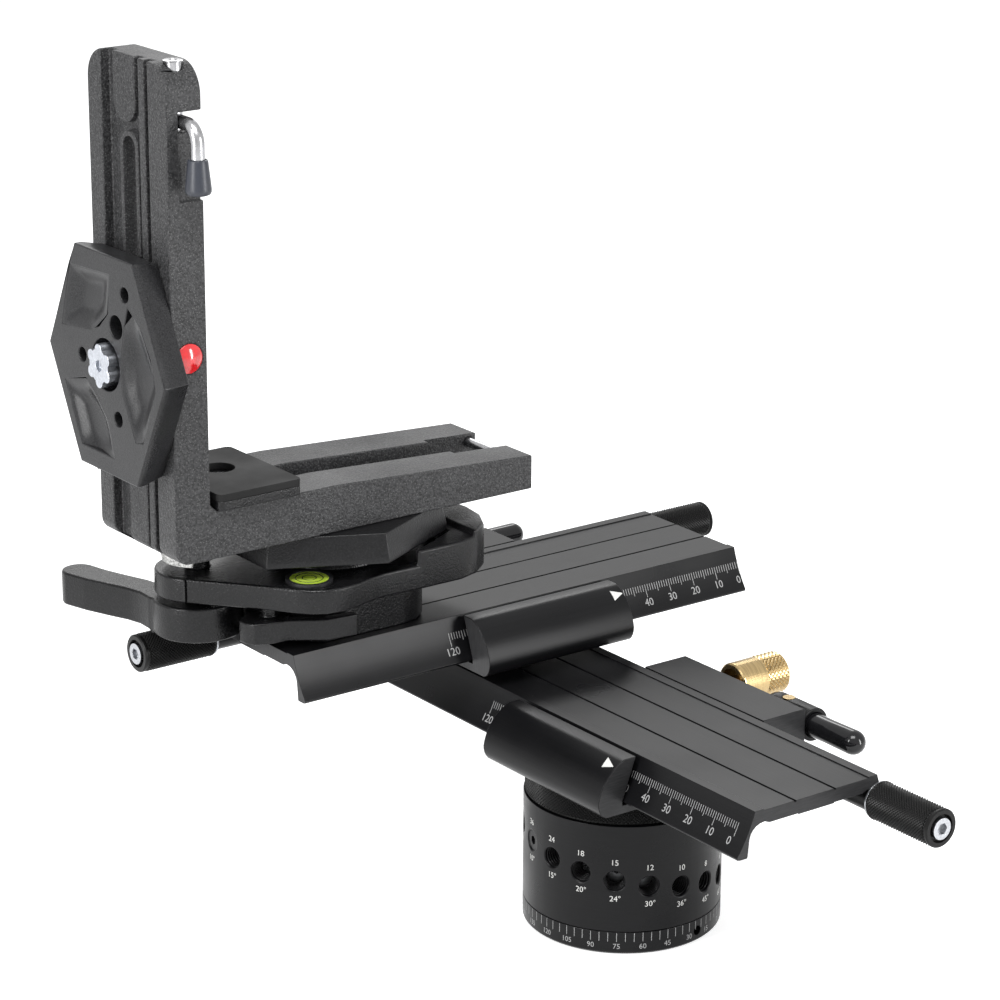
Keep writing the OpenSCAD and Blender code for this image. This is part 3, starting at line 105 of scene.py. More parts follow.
def soft_box(name, place, width, height, watts):
    """A rectangular area light at place, turned so that it faces the middle of the object."""
    data = bpy.data.lights.new(name, "AREA")
    data.shape, data.size, data.size_y, data.energy = "RECTANGLE", width, height, watts
    box = bpy.data.objects.new(name, data)
    scene.collection.objects.link(box)
    box.location = place
    box.rotation_euler = (AIM - Vector(place)).to_track_quat("-Z", "Y").to_euler()


soft_box("top_box", (-0.35, -0.35, 1.25), 0.75, 0.5, 15.0)
soft_box("left_box", (-1.25, -0.05, 0.45), 0.22, 0.9, 12.0)
soft_box("right_box", (0.55, -1.05, 0.30), 0.2, 0.8, 11.0)
soft_box("back_box", (0.6, 1.1, 0.9), 0.9, 0.25, 4.0)

print("soft boxes:", len(bpy.data.lights))

# %% [markdown]
# ## White wall
# The wall is white only to rays that see it, from the camera, in a reflection or through glass. To all
# other rays it is a dim grey room: the wall shows white without flooding the head with light.

# %% Which rays see the wall
SEEN_BY = ("Is Camera Ray", "Is Glossy Ray", "Is Transmission Ray")


def any_of(nodes, links, sockets):
    """The largest of several values that are nought or one: one if any of them is."""
    found = sockets[0]
    for socket in sockets[1:]:
        either = nodes.new("ShaderNodeMath")
        either.operation = "MAXIMUM"
        links.new(found, either.inputs[0])
        links.new(socket, either.inputs[1])
        found = either.outputs[0]
    return found


print("the wall is seen by", len(SEEN_BY), "kinds of rays")

# %% [markdown]
# The world's shader mixes the grey room with the white wall, and the kind of ray decides between them.

# %% The wall and the room
ROOM_GREY, ROOM_STRENGTH = (0.62, 0.64, 0.66, 1), 0.4
world = bpy.data.worlds.new("studio")
scene.world = world
world.use_nodes = True
sky = world.node_tree.nodes
sky.clear()
sky_links = world.node_tree.links
rays = sky.new("ShaderNodeLightPath")
seen = any_of(sky, sky_links, [rays.outputs[k] for k in SEEN_BY])
room = sky.new("ShaderNodeBackground")
room.inputs["Color"].default_value = ROOM_GREY
room.inputs["Strength"].default_value = ROOM_STRENGTH
white = sky.new("ShaderNodeBackground")
white.inputs["Color"].default_value = (1, 1, 1, 1)
pick = sky.new("ShaderNodeMixShader")
sky_links.new(seen, pick.inputs[0])
sky_links.new(room.outputs[0], pick.inputs[1])
sky_links.new(white.outputs[0], pick.inputs[2])
out = sky.new("ShaderNodeOutputWorld")
sky_links.new(pick.outputs[0], out.inputs[0])
print("nodes in the world:", len(sky))

# %% [markdown]
# ## Table
# The head stands on a pale table. Its white is partly painted and partly glowing: where the head's shadow
# falls only the glow is left, so the shadow shows as a soft grey, and the open table is as white as the wall.

# %% The table it stands on
TABLE_HALF, TABLE_GAP = 3, 0.0002
table_z = float(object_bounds()[0][2]) - TABLE_GAP
table = bpy.data.meshes.new("table")
table.from_pydata([(x * TABLE_HALF, y * TABLE_HALF, table_z) for x, y in ((-1, -1), (1, -1), (1, 1), (-1, 1))],
                  [], [(0, 1, 2, 3)])
floor = bpy.data.objects.new("table", table)
scene.collection.objects.link(floor)
pale = bpy.data.materials.new("pale_table")
pale.use_nodes = True
pale_nodes, pale_links = pale.node_tree.nodes, pale.node_tree.links
paint = pale_nodes["Principled BSDF"]
paint.inputs["Base Color"].default_value = (0.8, 0.8, 0.8, 1)
paint.inputs["Roughness"].default_value = 0.9
table_rays = pale_nodes.new("ShaderNodeLightPath")
glow = pale_nodes.new("ShaderNodeEmission")
pale_links.new(any_of(pale_nodes, pale_links, [table_rays.outputs[k] for k in SEEN_BY]), glow.inputs["Strength"])
glow.inputs["Color"].default_value = (0.72, 0.72, 0.72, 1)
both = pale_nodes.new("ShaderNodeAddShader")
pale_links.new(paint.outputs[0], both.inputs[0])
pale_links.new(glow.outputs[0], both.inputs[1])
pale_links.new(both.outputs[0], pale_nodes["Material Output"].inputs["Surface"])
table.materials.append(pale)
print("table at", round(table_z / MM, 2), "mm")

# %% [markdown]
# ## Finishes
# Every finish is built from the same three ideas: a colour that varies a little, a roughness that
# varies with it, and a bump. What differs is the pattern. Powder coat and sand-cast black are fine
# grains, extruded aluminium has streaks along its length, turned parts have rings, and moulded rubber is
# nearly smooth. All of them read object coordinates in metres, so a scale of 2000 is half a millimetre.

# %% A new material
PLAIN_MIRROR = 0.5


def new_finish(name, colour, metal, rough, mirror=PLAIN_MIRROR):
    """Makes a material that is found by its name, and returns its nodes, links and Principled shader; mirror
    is how strongly a surface that isn't metal reflects."""
    material = bpy.data.materials.new(name)
    material.use_nodes = True
    material.diffuse_color = (*colour, 1)
    nodes, links = material.node_tree.nodes, material.node_tree.links
    shader = nodes["Principled BSDF"]
    shader.inputs["Base Color"].default_value = (*colour, 1)
    shader.inputs["Metallic"].default_value = metal
    shader.inputs["Roughness"].default_value = rough
    shader.inputs["Specular IOR Level"].default_value = mirror
    return nodes, links, shader


print("materials so far:", len(bpy.data.materials))

# %% [markdown]
# A pattern is read at a place. Multiplying the place's coordinates by a small number along one axis draws
# the pattern out that way, which is how streaks and turning lines are made from a cloudy noise.

# %% Where a pattern is read
def object_space(nodes, links, stretch=(1, 1, 1)):
    """Object coordinates multiplied by stretch, which makes a pattern longer where it is below one."""
    place = nodes.new("ShaderNodeTexCoord")
    mapping = nodes.new("ShaderNodeMapping")
    mapping.inputs["Scale"].default_value = stretch
    links.new(place.outputs["Object"], mapping.inputs["Vector"])
    return mapping.outputs["Vector"]


def noise(nodes, links, vector, scale, detail=3.0):
    """A cloudy pattern between nought and one, read at vector; a larger scale makes it finer."""
    texture = nodes.new("ShaderNodeTexNoise")
    texture.inputs["Scale"].default_value = scale
    texture.inputs["Detail"].default_value = detail
    links.new(vector, texture.inputs["Vector"])
    return texture.outputs["Fac"]


print("coordinates and noise ready")

# %% [markdown]
# A pattern is only a number at each point. A ramp turns that number into a roughness or into a colour,
# mostly from a darker to a lighter shade of the same one.

# %% From a pattern to a colour or a roughness
def ramp(nodes, links, value, low, high, start=0.3, stop=0.7):
    """Maps a value between start and stop onto colours or greys from low to high."""
    node = nodes.new("ShaderNodeValToRGB")
    for stopper, place, tone in zip(node.color_ramp.elements, (start, stop), (low, high)):
        stopper.position = place
        stopper.color = (*tone, 1) if isinstance(tone, tuple) else (tone, tone, tone, 1)
    links.new(value, node.inputs["Fac"])
    return node.outputs["Color"]


def shades(colour, dark, light):
    """The same colour made darker and lighter, as the two ends of a ramp."""
    return tuple(c * dark for c in colour), tuple(min(1, c * light) for c in colour)


print("shades of a mid grey:", shades((0.5,), 0.5, 1.6))

# %% [markdown]
# A bump turns a pattern into small hills and valleys, as far as the shading goes. A blend changes over
# from one pattern to another where a third one says so.

# %% Relief and blending
def bump(nodes, links, shader, height, distance, strength):
    """Lets the pattern height stand out from the surface by distance metres, as far as shading goes."""
    node = nodes.new("ShaderNodeBump")
    node.inputs["Distance"].default_value = distance
    node.inputs["Strength"].default_value = strength
    links.new(height, node.inputs["Height"])
    links.new(node.outputs["Normal"], shader.inputs["Normal"])


def blend(nodes, links, kind, share, low, high):
    """Goes from low to high as share goes from nought to one; kind is RGBA or FLOAT, high may be a colour."""
    mix = nodes.new("ShaderNodeMix")
    mix.data_type = kind
    links.new(share, mix.inputs["Factor"])
    links.new(low, mix.inputs["A"])
    if isinstance(high, tuple):
        mix.inputs["B"].default_value = (*high, 1)
    else:
        links.new(high, mix.inputs["B"])
    return mix.outputs["Result"]


print("relief and blending ready")

# %% [markdown]
# ### Grained coats
# The bracket is powder coated in dark grey: thousands of grains of about half a millimetre, some of which
# catch the light; these glints are painted into the colour as pale spots. The quick release and the hexagonal
# plates are blacker and a little glossier, and the lock's cam is bare silver. All of them come from one
# function, with a fine noise for the grain and a sparse cell pattern for the painted glints.

# %% Grained coats
COAT_MIRROR = 0.26


def grained_coat(name, colour, glint_colour, rough, grain, depth, metal=0.0):
    """A coat of colour with painted glints: pale spots in the next colour, standing in for grains that catch the
    light; grain is the noise's scale and depth its height in metres.
    """
    mirror = COAT_MIRROR if metal == 0 else PLAIN_MIRROR
    nodes, links, shader = new_finish(name, colour, metal, rough, mirror)
    space = object_space(nodes, links)
    fine = noise(nodes, links, space, grain, 2.0)
    cells = nodes.new("ShaderNodeTexVoronoi")
    cells.inputs["Scale"].default_value = grain * 0.9
    links.new(space, cells.inputs["Vector"])
    # Painted glints: sparse cells paint pale spots into the base colour, in place of grains catching the light.
    glint_specks = ramp(nodes, links, cells.outputs["Distance"], 1.0, 0.0, 0.08, 0.36)
    cloud = noise(nodes, links, space, 35, 2.0)
    tint = ramp(nodes, links, fine, *shades(colour, 0.5, 1.6), 0.36, 0.64)
    links.new(blend(nodes, links, "RGBA", glint_specks, tint, glint_colour), shader.inputs["Base Color"])
    links.new(ramp(nodes, links, cloud, rough - 0.07, rough + 0.09), shader.inputs["Roughness"])
    bump(nodes, links, shader, fine, depth, 0.9)


# The second colour of each coat is the colour of its painted glints.
COATS = {
    "bracket_coat": ((0.026, 0.026, 0.027), (0.1, 0.1, 0.1), 0.44, 1500, 0.0003),
    "black_casting": ((0.004, 0.004, 0.0045), (0.014, 0.014, 0.014), 0.26, 1700, 0.00013),
    "black_mould": ((0.014, 0.014, 0.015), (0.035, 0.035, 0.035), 0.3, 2400, 0.00005),
    "silver_casting": ((0.36, 0.36, 0.35), (0.45, 0.45, 0.44), 0.42, 1800, 0.00006, 0.75),
}
for name, values in COATS.items():
    grained_coat(name, *values)
print("coats:", *COATS)

# %% [markdown]
# ### Anodised extrusions
# The plates and clamps were pushed through a die, so very fine lines run along them. The saw-cut ends
# show the same black but with short arcs across, and are a little lighter. The function stretches a noise
# along the piece, and changes over to a cross pattern where the surface's normal points along it.

# %% Anodised extrusions
EXTRUDED_MIRROR = 0.17


def extruded(name, along, colour=(0.004, 0.004, 0.0045), end=(0.028, 0.028, 0.029)):
    """along is the axis of the extrusion, 0 for X and 1 for Y, and end the colour of its saw cuts."""
    nodes, links, shader = new_finish(name, colour, 0.0, 0.36, EXTRUDED_MIRROR)
    stretch = [1, 1, 1]
    stretch[along] = 0.012
    streaks = noise(nodes, links, object_space(nodes, links, tuple(stretch)), 2600, 4.0)
    arcs = noise(nodes, links, object_space(nodes, links, (1, 1, 0.08) if along == 0 else (0.08, 1, 1)), 3200, 2.0)
    cloud = noise(nodes, links, object_space(nodes, links), 28, 3.0)
    facing = nodes.new("ShaderNodeTexCoord")
    split = nodes.new("ShaderNodeSeparateXYZ")
    links.new(facing.outputs["Normal"], split.inputs[0])
    lean = nodes.new("ShaderNodeMath")
    lean.operation = "ABSOLUTE"
    links.new(split.outputs[along], lean.inputs[0])
    cut = ramp(nodes, links, lean.outputs[0], 0.0, 1.0, 0.9, 0.98)
    side_tone, end_tone = (ramp(nodes, links, pattern, *shades(tone, 0.8, 1.2))
                           for pattern, tone in ((streaks, colour), (arcs, end)))
    links.new(blend(nodes, links, "RGBA", cut, side_tone, end_tone), shader.inputs["Base Color"])
    links.new(ramp(nodes, links, cloud, 0.26, 0.36), shader.inputs["Roughness"])
    bump(nodes, links, shader, blend(nodes, links, "FLOAT", cut, streaks, arcs), 0.00002, 0.5)


for along, name in enumerate(("extruded_x", "extruded_y")):
    extruded(name, along)
print("finishes so far:", len(bpy.data.materials))

# %% [markdown]
# ### Turned metal and plastics
# Lathe work leaves rings round the axis, too fine to count, with a slow wandering in the shine. For the
# drum the rings lie level, so a noise squeezed in height does it. Steel screws are zinc plated, the lock
# knobs are brass, and the release levers have a glossy black grip. A deep black gets a weaker mirror, as
# the black layer swallows part of the reflection.

# %% Turned metal and plastics
DEEP_BLACK, DEEP_MIRROR = 0.012, 0.16


def worked_metal(name, colour, metal, rough, stretch, scale, depth=0.00001, coat=0.0):
    """A smooth surface with lines: a noise of this scale, drawn out by stretch, and depth metres high."""
    mirror = DEEP_MIRROR if max(colour) < DEEP_BLACK else PLAIN_MIRROR
    nodes, links, shader = new_finish(name, colour, metal, rough, mirror)
    lines = noise(nodes, links, object_space(nodes, links, stretch), scale, 3.0)
    cloud = noise(nodes, links, object_space(nodes, links), 60, 4.0)
    links.new(ramp(nodes, links, lines, *shades(colour, 0.82, 1.15)), shader.inputs["Base Color"])
    links.new(ramp(nodes, links, cloud, rough - 0.06, rough + 0.1), shader.inputs["Roughness"])
    shader.inputs["Coat Weight"].default_value = coat
    bump(nodes, links, shader, lines, depth, 0.6)


print("colours under", DEEP_BLACK, "count as deep black")

# %% [markdown]
# Each finish is one row: its colour, how metallic and how rough it is, the stretch of its lines and
# their scale, and where needed their height and a clear coat.

# %% The smooth finishes
SMOOTH = {
    "turned_black": ((0.004, 0.004, 0.0045), 0.0, 0.28, (0.03, 0.03, 1), 2600),
    "knurled_black": ((0.007, 0.007, 0.007), 0.0, 0.32, (1, 1, 1), 900),
    "bright_zinc": ((0.5, 0.52, 0.56), 1.0, 0.32, (1, 1, 1), 1500),
    "zinc": ((0.4, 0.41, 0.43), 1.0, 0.28, (1, 1, 1), 1500),
    "plain_steel": ((0.4, 0.4, 0.41), 1.0, 0.26, (1, 1, 0.1), 1400),
    "bare_aluminium": ((0.16, 0.163, 0.168), 1.0, 0.4, (0.05, 0.05, 1), 1800),
    "turned_brass": ((0.46, 0.34, 0.17), 1.0, 0.24, (1, 0.05, 0.05), 2200),
    "plain_bronze": ((0.5, 0.33, 0.15), 1.0, 0.34, (1, 1, 1), 900),
    "gloss_black": ((0.008, 0.008, 0.009), 0.0, 0.16, (1, 1, 1), 300, 0.000004, 0.3),
    "pad_rubber": ((0.011, 0.011, 0.011), 0.0, 0.6, (1, 1, 1), 2600, 0.00003),
    "blue_rubber": ((0.018, 0.021, 0.03), 0.0, 0.4, (1, 1, 1), 1600, 0.00001),
    "red_gloss": ((0.62, 0.012, 0.016), 0.0, 0.18, (1, 1, 1), 400, 0.000003, 0.8),
    "white_print": ((0.6, 0.6, 0.58), 0.0, 0.55, (1, 1, 1), 4000, 0.000002),
    "grey_engraving": ((0.3, 0.3, 0.3), 0.1, 0.5, (1, 1, 1), 4000, 0.000002),
}
for name, values in SMOOTH.items():
    worked_metal(name, *values)
print("finishes:", len(bpy.data.materials))

# %% [markdown]
# ### The level's fluid
# A bubble level holds a yellow-green alcohol under a clear lens. From above one sees the colour of the
# fluid on its pale base, so a glossy, slightly coated yellow-green reads right without tracing glass.

# %% The level's fluid
fluid_nodes, fluid_links, fluid_shader = new_finish("fluid", (0.45, 0.62, 0.05), 0.0, 0.08)
fluid_cloud = noise(fluid_nodes, fluid_links, object_space(fluid_nodes, fluid_links), 220, 2.0)
fluid_links.new(ramp(fluid_nodes, fluid_links, fluid_cloud, (0.36, 0.52, 0.03), (0.55, 0.72, 0.09)),
                fluid_shader.inputs["Base Color"])
fluid_shader.inputs["Coat Weight"].default_value = 1.0
fluid_shader.inputs["Coat Roughness"].default_value = 0.03
print("fluid ready")

# %% [markdown]
# ## Finish for each solid
# The solids that already have the right shape only need their finish. Their edges are sharp, as no real
# edge is, so each also gets a small bevel: its loose triangles are welded first, and only edges that turn
# by more than 32 degrees are rounded. Castings get the widest bevel, and small parts a hair's breadth.

# %% A finish for each solid
FINISH_OF = {
    "bracket_coat": ["l_bracket"],
    "black_casting": ["adapter_body", "lock_lever", "safety_lever", "arm_hex_plate", "camera_plate"],
    "black_mould": ["side_hex_plate", "bubble_housing"],
    "silver_casting": ["lock_cam"],
    "extruded_x": ["upper_plate", "upper_clamp"],
    "extruded_y": ["lower_plate", "lower_clamp"],
    "turned_black": ["base_ring", "drum", "spacer", "lower_lever_bar", "upper_lever_bar", "plunger_body"],
    "knurled_black": ["lock_ring", "lower_screw_knobs", "upper_screw_knobs"],
    "bright_zinc": ["star_screw"],
    "zinc": ["lower_knob_screws", "upper_knob_screws", "lower_washers", "upper_washers",
             "arm_plate_screw", "camera_screw", "lower_clamp_screws", "upper_clamp_bolts", "adapter_screw",
             "base_set_screw"],
    "plain_steel": ["pin_lever", "cross_bar", "lower_lead_screw", "upper_lead_screw", "index_pin", "spindle",
                    "spindle_nut", "plunger_spring", "lower_nut_spring", "upper_nut_spring"],
    "bare_aluminium": ["index_core"],
    "turned_brass": ["lower_lock_knob", "upper_lock_knob", "lower_lever_pin", "upper_lever_pin"],
    "plain_bronze": ["lower_half_nut", "upper_half_nut", "lower_lock_shoe", "upper_lock_shoe", "brake_shoe"],
    "gloss_black": ["lower_lever_grip", "upper_lever_grip"],
    "pad_rubber": ["camera_pad"],
    "blue_rubber": ["lever_sleeve"],
    "red_gloss": ["badge"],
    "fluid": ["bubble_vial"],
}
print("solids with a finish:", sum(len(members) for members in FINISH_OF.values()))

# %% [markdown]
# The roundings are in millimetres, for the pieces whose edges show. All others get the least one.

# %% A rounding for each solid
ROUND_BY = {"l_bracket": 0.5, "adapter_body": 0.8, "lock_lever": 0.8, "safety_lever": 0.6, "arm_hex_plate": 0.4,
            "side_hex_plate": 0.4, "camera_plate": 0.2, "camera_pad": 0.2, "lower_plate": 0.12, "upper_plate": 0.12,
            "lower_clamp": 0.25, "upper_clamp": 0.25, "base_ring": 0.2, "drum": 0.2, "spacer": 0.2, "star_screw": 0.2,
            "lock_cam": 0.3, "lower_lever_bar": 0.35, "upper_lever_bar": 0.35, "badge": 0.1}
LEAST_ROUND = 0.06
print("solids with a rounding of their own:", len(ROUND_BY))

# %% [markdown]
# A stack of modifiers rounds the edges and leaves the solid's own points in place. The order matters: weld
# first, then join level triangles, bevel the edges that are left, and weigh the shading last.

# %% Soft edges
def soften(node, radius):
    """Welds the solid's triangles, joins the level ones into whole faces, rounds the sharp edges by radius
    millimetres, and lets the largest face at each corner decide its shading, so that flats stay flat."""
    node.data.polygons.foreach_set("use_smooth", np.ones(len(node.data.polygons), bool))
    weld = node.modifiers.new("weld", "WELD")
    weld.merge_threshold = 0.000002
    whole = node.modifiers.new("whole_faces", "DECIMATE")
    whole.decimate_type = "DISSOLVE"
    whole.angle_limit = math.radians(0.4)
    edge = node.modifiers.new("edges", "BEVEL")
    edge.width = radius * MM
    edge.segments = 2
    edge.limit_method = "ANGLE"
    edge.angle_limit = math.radians(32)
    edge.use_clamp_overlap = False
    weigh = node.modifiers.new("flat_shading", "WEIGHTED_NORMAL")
    weigh.mode = "FACE_AREA"
    weigh.weight = 80


print("edges are rounded by at least", LEAST_ROUND, "mm")

# %% [markdown]
# Now each solid gets its one material and its soft edges.

# %% Dress the solids
dressed = 0
for finish, members in FINISH_OF.items():
    for name in members:
        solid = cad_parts[name]
        solid.data.materials.clear()
        solid.data.materials.append(bpy.data.materials[finish])
        soften(solid, ROUND_BY.get(name, LEAST_ROUND))
        dressed += 1
print("dressed", dressed, "of", len(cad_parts), "solids")

# %% [markdown]
# ## From a grid of numbers to a piece
# Every new piece below is a surface over two parameters. The points come out of numpy as one array, the
# faces are the cells of the grid, and one function turns both into an object that rides on its body.

# %% Grid helpers
def grid_faces(rows, cols, wrap_rows=False, wrap_cols=False):
    """The four corner numbers of each cell of a grid; a wrapped side joins its last line to its first."""
    r = np.arange(rows if wrap_rows else rows - 1)
    c = np.arange(cols if wrap_cols else cols - 1)
    r, c = np.meshgrid(r, c, indexing="ij")
    r1, c1 = (r + 1) % rows, (c + 1) % cols
    return np.stack([r * cols + c, r * cols + c1, r1 * cols + c1, r1 * cols + c], axis=-1).reshape(-1, 4)


def make_piece(name, points, faces, body, finish, smooth=False):
    """Puts points in metres and faces into a mesh with the finish of that name, and lets the object ride on
    a body of the frame."""
    mesh = bpy.data.meshes.new(name)
    mesh.from_pydata(np.asarray(points, float).reshape(-1, 3).tolist(), [], [list(map(int, f)) for f in faces])
    mesh.polygons.foreach_set("use_smooth", np.full(len(mesh.polygons), smooth))
    mesh.materials.append(bpy.data.materials[finish])
    mesh.update()
    piece = bpy.data.objects.new(name, mesh)
    scene.collection.objects.link(piece)
    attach(piece, body)
    return piece


print("grid of 3 by 4 points:", len(grid_faces(3, 4)), "cells")

# %% [markdown]
# Closed pieces have to show their outer side everywhere, and turned ones need an axis with two directions
# across it, rings of points round that axis, and a lid at each end.

# %% Helpers for closed and for turned pieces
def circle_angles(count):
    """count equal steps round a circle: a = 2 pi k / count."""
    return np.linspace(0, 2 * np.pi, count, endpoint=False)


def turn_outward(piece):
    """Recalculates the faces of a closed mesh, so that all of them look outwards."""
    work = bmesh.new()
    work.from_mesh(piece.data)
    bmesh.ops.recalc_face_normals(work, faces=work.faces)
    work.to_mesh(piece.data)
    work.free()


def axis_frame(start, way, up):
    """Three unit vectors, across, up and along way, for placing a turned piece that starts at start."""
    along = np.array(way, float)
    side = np.cross(along, np.array(up, float))
    return np.array(start, float), side, np.cross(side, along), along


def place_turned(radius, height, angle, axis):
    """Points at radius and angle round the axis, height along it; all in millimetres, returned in metres."""
    start, side, top, along = axis
    return (start + radius[..., None] * (np.cos(angle)[..., None] * side + np.sin(angle)[..., None] * top)
            + height[..., None] * along) * MM


def end_caps(count, around):
    """One face for each end of a tube of count rings; the first looks back and the last forwards."""
    return [list(range(around))[::-1], list(range((count - 1) * around, count * around))]


print("lids of a tube:", len(end_caps(2, 40)))

# %% [markdown]
# ## Diamond knurling
# A knurling wheel presses two sets of crossing grooves into a turned surface, which leaves rows of small
# four-sided points. On a grid where every second point is a groove, each cell only has to be cut along
# its groove diagonal. That gives true diamonds with two triangles a cell, far cheaper than a fine mesh.

# %% Knurled surfaces
def knurled(name, axis, profile, around, body, finish, depth):
    """A closed turned piece. profile is a list of (radius, height, knurled) rings in millimetres from the
    start to the end of the axis. Points where ring plus column is odd stand out, the others are pressed
    in by depth wherever the ring is knurled."""
    rings = np.array(profile, float)
    angle = circle_angles(around)
    odd = (np.arange(len(rings))[:, None] + np.arange(around)[None, :]) % 2
    radius = rings[:, :1] - depth * rings[:, 2:] * (1 - odd)
    height = np.repeat(rings[:, 1:2], around, axis=1)
    points = place_turned(radius, height, np.repeat(angle[None, :], len(rings), axis=0), axis).reshape(-1, 3)
    quads = grid_faces(len(rings), around, wrap_cols=True)[:, ::-1]
    even_first = odd.reshape(-1)[quads[:, 0]] == 0
    one = np.where(even_first[:, None], quads[:, [0, 1, 2]], quads[:, [0, 1, 3]])
    two = np.where(even_first[:, None], quads[:, [0, 2, 3]], quads[:, [1, 2, 3]])
    ends = [cap[::-1] for cap in end_caps(len(rings), around)]
    piece = make_piece(name, points, list(one) + list(two) + ends, body, finish)
    return piece


def knurl_rows(radius, low, high, pitch):
    """Knurled rings from low to high, two for each pitch."""
    return [(radius, h, 1) for h in np.linspace(low, high, 2 * int(round((high - low) / pitch)) + 1)]


print("rings in 10 mm of fine knurl:", len(knurl_rows(6.25, 0.0, 10.0, 1.07)))

# %% [markdown]
# ## Knobs of the lead screws
# Each lead screw carries the same black knob at both ends: a long knurled grip, a groove, a smooth collar,
# and a shallow hole in the face for the screw that holds it.

# %% Lead screw knobs
KNOB_ROUND, KNOB_GROOVE = 72, 0.42
SCREW_ENDS = {"lower": ((29.0, -85.7, 61.1), (29.0, 92.3, 61.1), (0, 1, 0)),
              "upper": ((-88.65, 102.1, 82.3), (89.35, 102.1, 82.3), (1, 0, 0))}
for slide, (low_end, high_end, way) in SCREW_ENDS.items():
    halves = []
    for end, sign in ((low_end, -1), (high_end, 1)):
        axis = axis_frame(end, np.array(way) * sign, (0, 0, 1))
        profile = ([(2.6, 0.62, 0), (5.7, 0.62, 0), (6.2, 1.1, 0)] + knurl_rows(6.25, 1.6, 25.2, 1.07)
                   + [(5.75, 25.4, 0), (5.75, 25.9, 0), (6.1, 26.2, 0), (6.1, 26.7, 0), (5.7, 27.08, 0),
                      (4.5, 27.08, 0), (4.4, 26.9, 0), (4.4, 25.4, 0), (1.6, 25.3, 0)])
        halves.append(knurled(f"{slide}_knob_{'near' if sign < 0 else 'far'}", axis, profile,
                              KNOB_ROUND, f"{slide}_screw", "knurled_black", KNOB_GROOVE))
    for half in halves:
        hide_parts(f"{slide}_screw_knobs")
print("knob faces:", len(halves[0].data.polygons))

# %% [markdown]
# ## Lock ring
# The lock ring under the lower slide has the same diamonds between two smooth bevels.

# %% Lock ring
RING_ROUND, RING_GROOVE = 312, 0.45
ring_profile = ([(20.06, 43.25, 0), (30.2, 43.25, 0), (31.0, 43.6, 0)] + knurl_rows(31.15, 44.0, 51.0, 1.25)
                + [(30.9, 51.3, 0), (30.2, 51.75, 0), (20.06, 51.75, 0)])
lock_ring_skin = knurled("lock_ring_knurl", axis_frame((0, 0, 0), (0, 0, 1), (0, 1, 0)), ring_profile,
                         RING_ROUND, "lock_ring", "knurled_black", RING_GROOVE)
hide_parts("lock_ring")
print("lock ring faces:", len(lock_ring_skin.data.polygons))

# %% [markdown]
# ## Brass lock knobs
# A lock knob is one brass turning: a plain barrel, a knurled grip and a stud that goes into the rear
# block. The same function makes it, with plain rings for the barrel and knurled rings for the grip.

# %% Brass knobs
BRASS_ROUND, BRASS_GROOVE = 56, 0.5
KNOB_ENDS = {"lower": ((50.0, 7.0, 64.5), (1, 0, 0)), "upper": ((-6.55, 123.1, 85.7), (0, 1, 0))}
barrel = [(2.4, -12.5, 0), (2.4, 2.9, 0), (5.0, 3.0, 0), (5.0, 0.02, 0), (6.2, 0.02, 0), (6.65, 0.45, 0),
          (6.7, 0.8, 0), (6.7, 10.3, 0)]
grip = knurl_rows(6.98, 10.7, 18.7, 1.6) + [(6.6, 19.05, 0), (6.1, 19.45, 0), (0.6, 19.45, 0)]
for slide, (start, way) in KNOB_ENDS.items():
    knob = knurled(f"{slide}_brass_knob", axis_frame(start, way, (0, 0, 1)), barrel + grip,
                   BRASS_ROUND, f"{slide}_lock_knob", "turned_brass", BRASS_GROOVE)
    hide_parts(f"{slide}_lock_knob")
print("brass knob faces:", len(knob.data.polygons))

# %% [markdown]
# ## The bent lever
# The lever at the top of the upright is a steel pin, bent down by a quarter turn and covered by a soft
# conical sleeve. Its path is a straight, a quarter circle and a straight, and a ring of points is carried
# along it. The rings become a skin with a lid at each end, smooth but for its sharper edges.

# %% Rings, and bars that follow a path
def ringed(name, middles, radii, side, top, sharp, body, finish, around):
    """Point = middle + radius (cos a side + sin a top); edges that turn by over sharp degrees stay sharp."""
    angle = circle_angles(around)[None, :, None]
    points = middles[:, None] + radii[:, None, None] * (np.cos(angle) * side[:, None] + np.sin(angle) * top[:, None])
    faces = list(grid_faces(len(middles), around, wrap_cols=True)) + end_caps(len(middles), around)
    piece = make_piece(name, points * MM, faces, body, finish, smooth=True)
    piece.data.set_sharp_from_angle(angle=math.radians(sharp))
    return piece


def bent_bar(name, path, radii, sideways, body, finish, around=40):
    """Rings of these radii round the points of path, in millimetres, spanned by sideways and way x sideways."""
    path, radii = np.array(path, float), np.array(radii, float)
    way = np.gradient(path, axis=0)
    way /= np.linalg.norm(way, axis=1, keepdims=True)
    side = np.broadcast_to(np.array(sideways, float), path.shape)
    return ringed(name, path, radii, side, np.cross(way, side), 35, body, finish, around)


print("bars ready")

# %% [markdown]
# A lathe piece without knurling is a profile turned round an axis. The same skin does it: the middles lie
# on the axis and the radii come from the profile.

# %% Plain turned pieces
def turned_piece(name, start, way, profile, body, finish, around=64):
    """A lathe piece whose profile is a list of (radius, height) from the start to the end of its axis."""
    profile = np.array(profile, float)
    start, way = np.array(start, float), np.array(way, float)
    side = (0, 0, 1) if abs(way[2]) < 0.5 else (1, 0, 0)
    points = start[None, :] + way[None, :] * profile[:, 1:2]
    flat = np.broadcast_to(np.array(side, float), points.shape)
    top = np.cross(np.broadcast_to(way, points.shape), flat)
    return ringed(name, points, profile[:, 0], flat, top, 28, body, finish, around)


print("turned pieces ready")

# %% [markdown]
# The lever's shaft stands upright in the bracket, with a shallow cap on top. Its handle leaves it level,
# bends down through a quarter circle of 5.5 mm and ends in the sleeve, a cone of blue-black rubber.

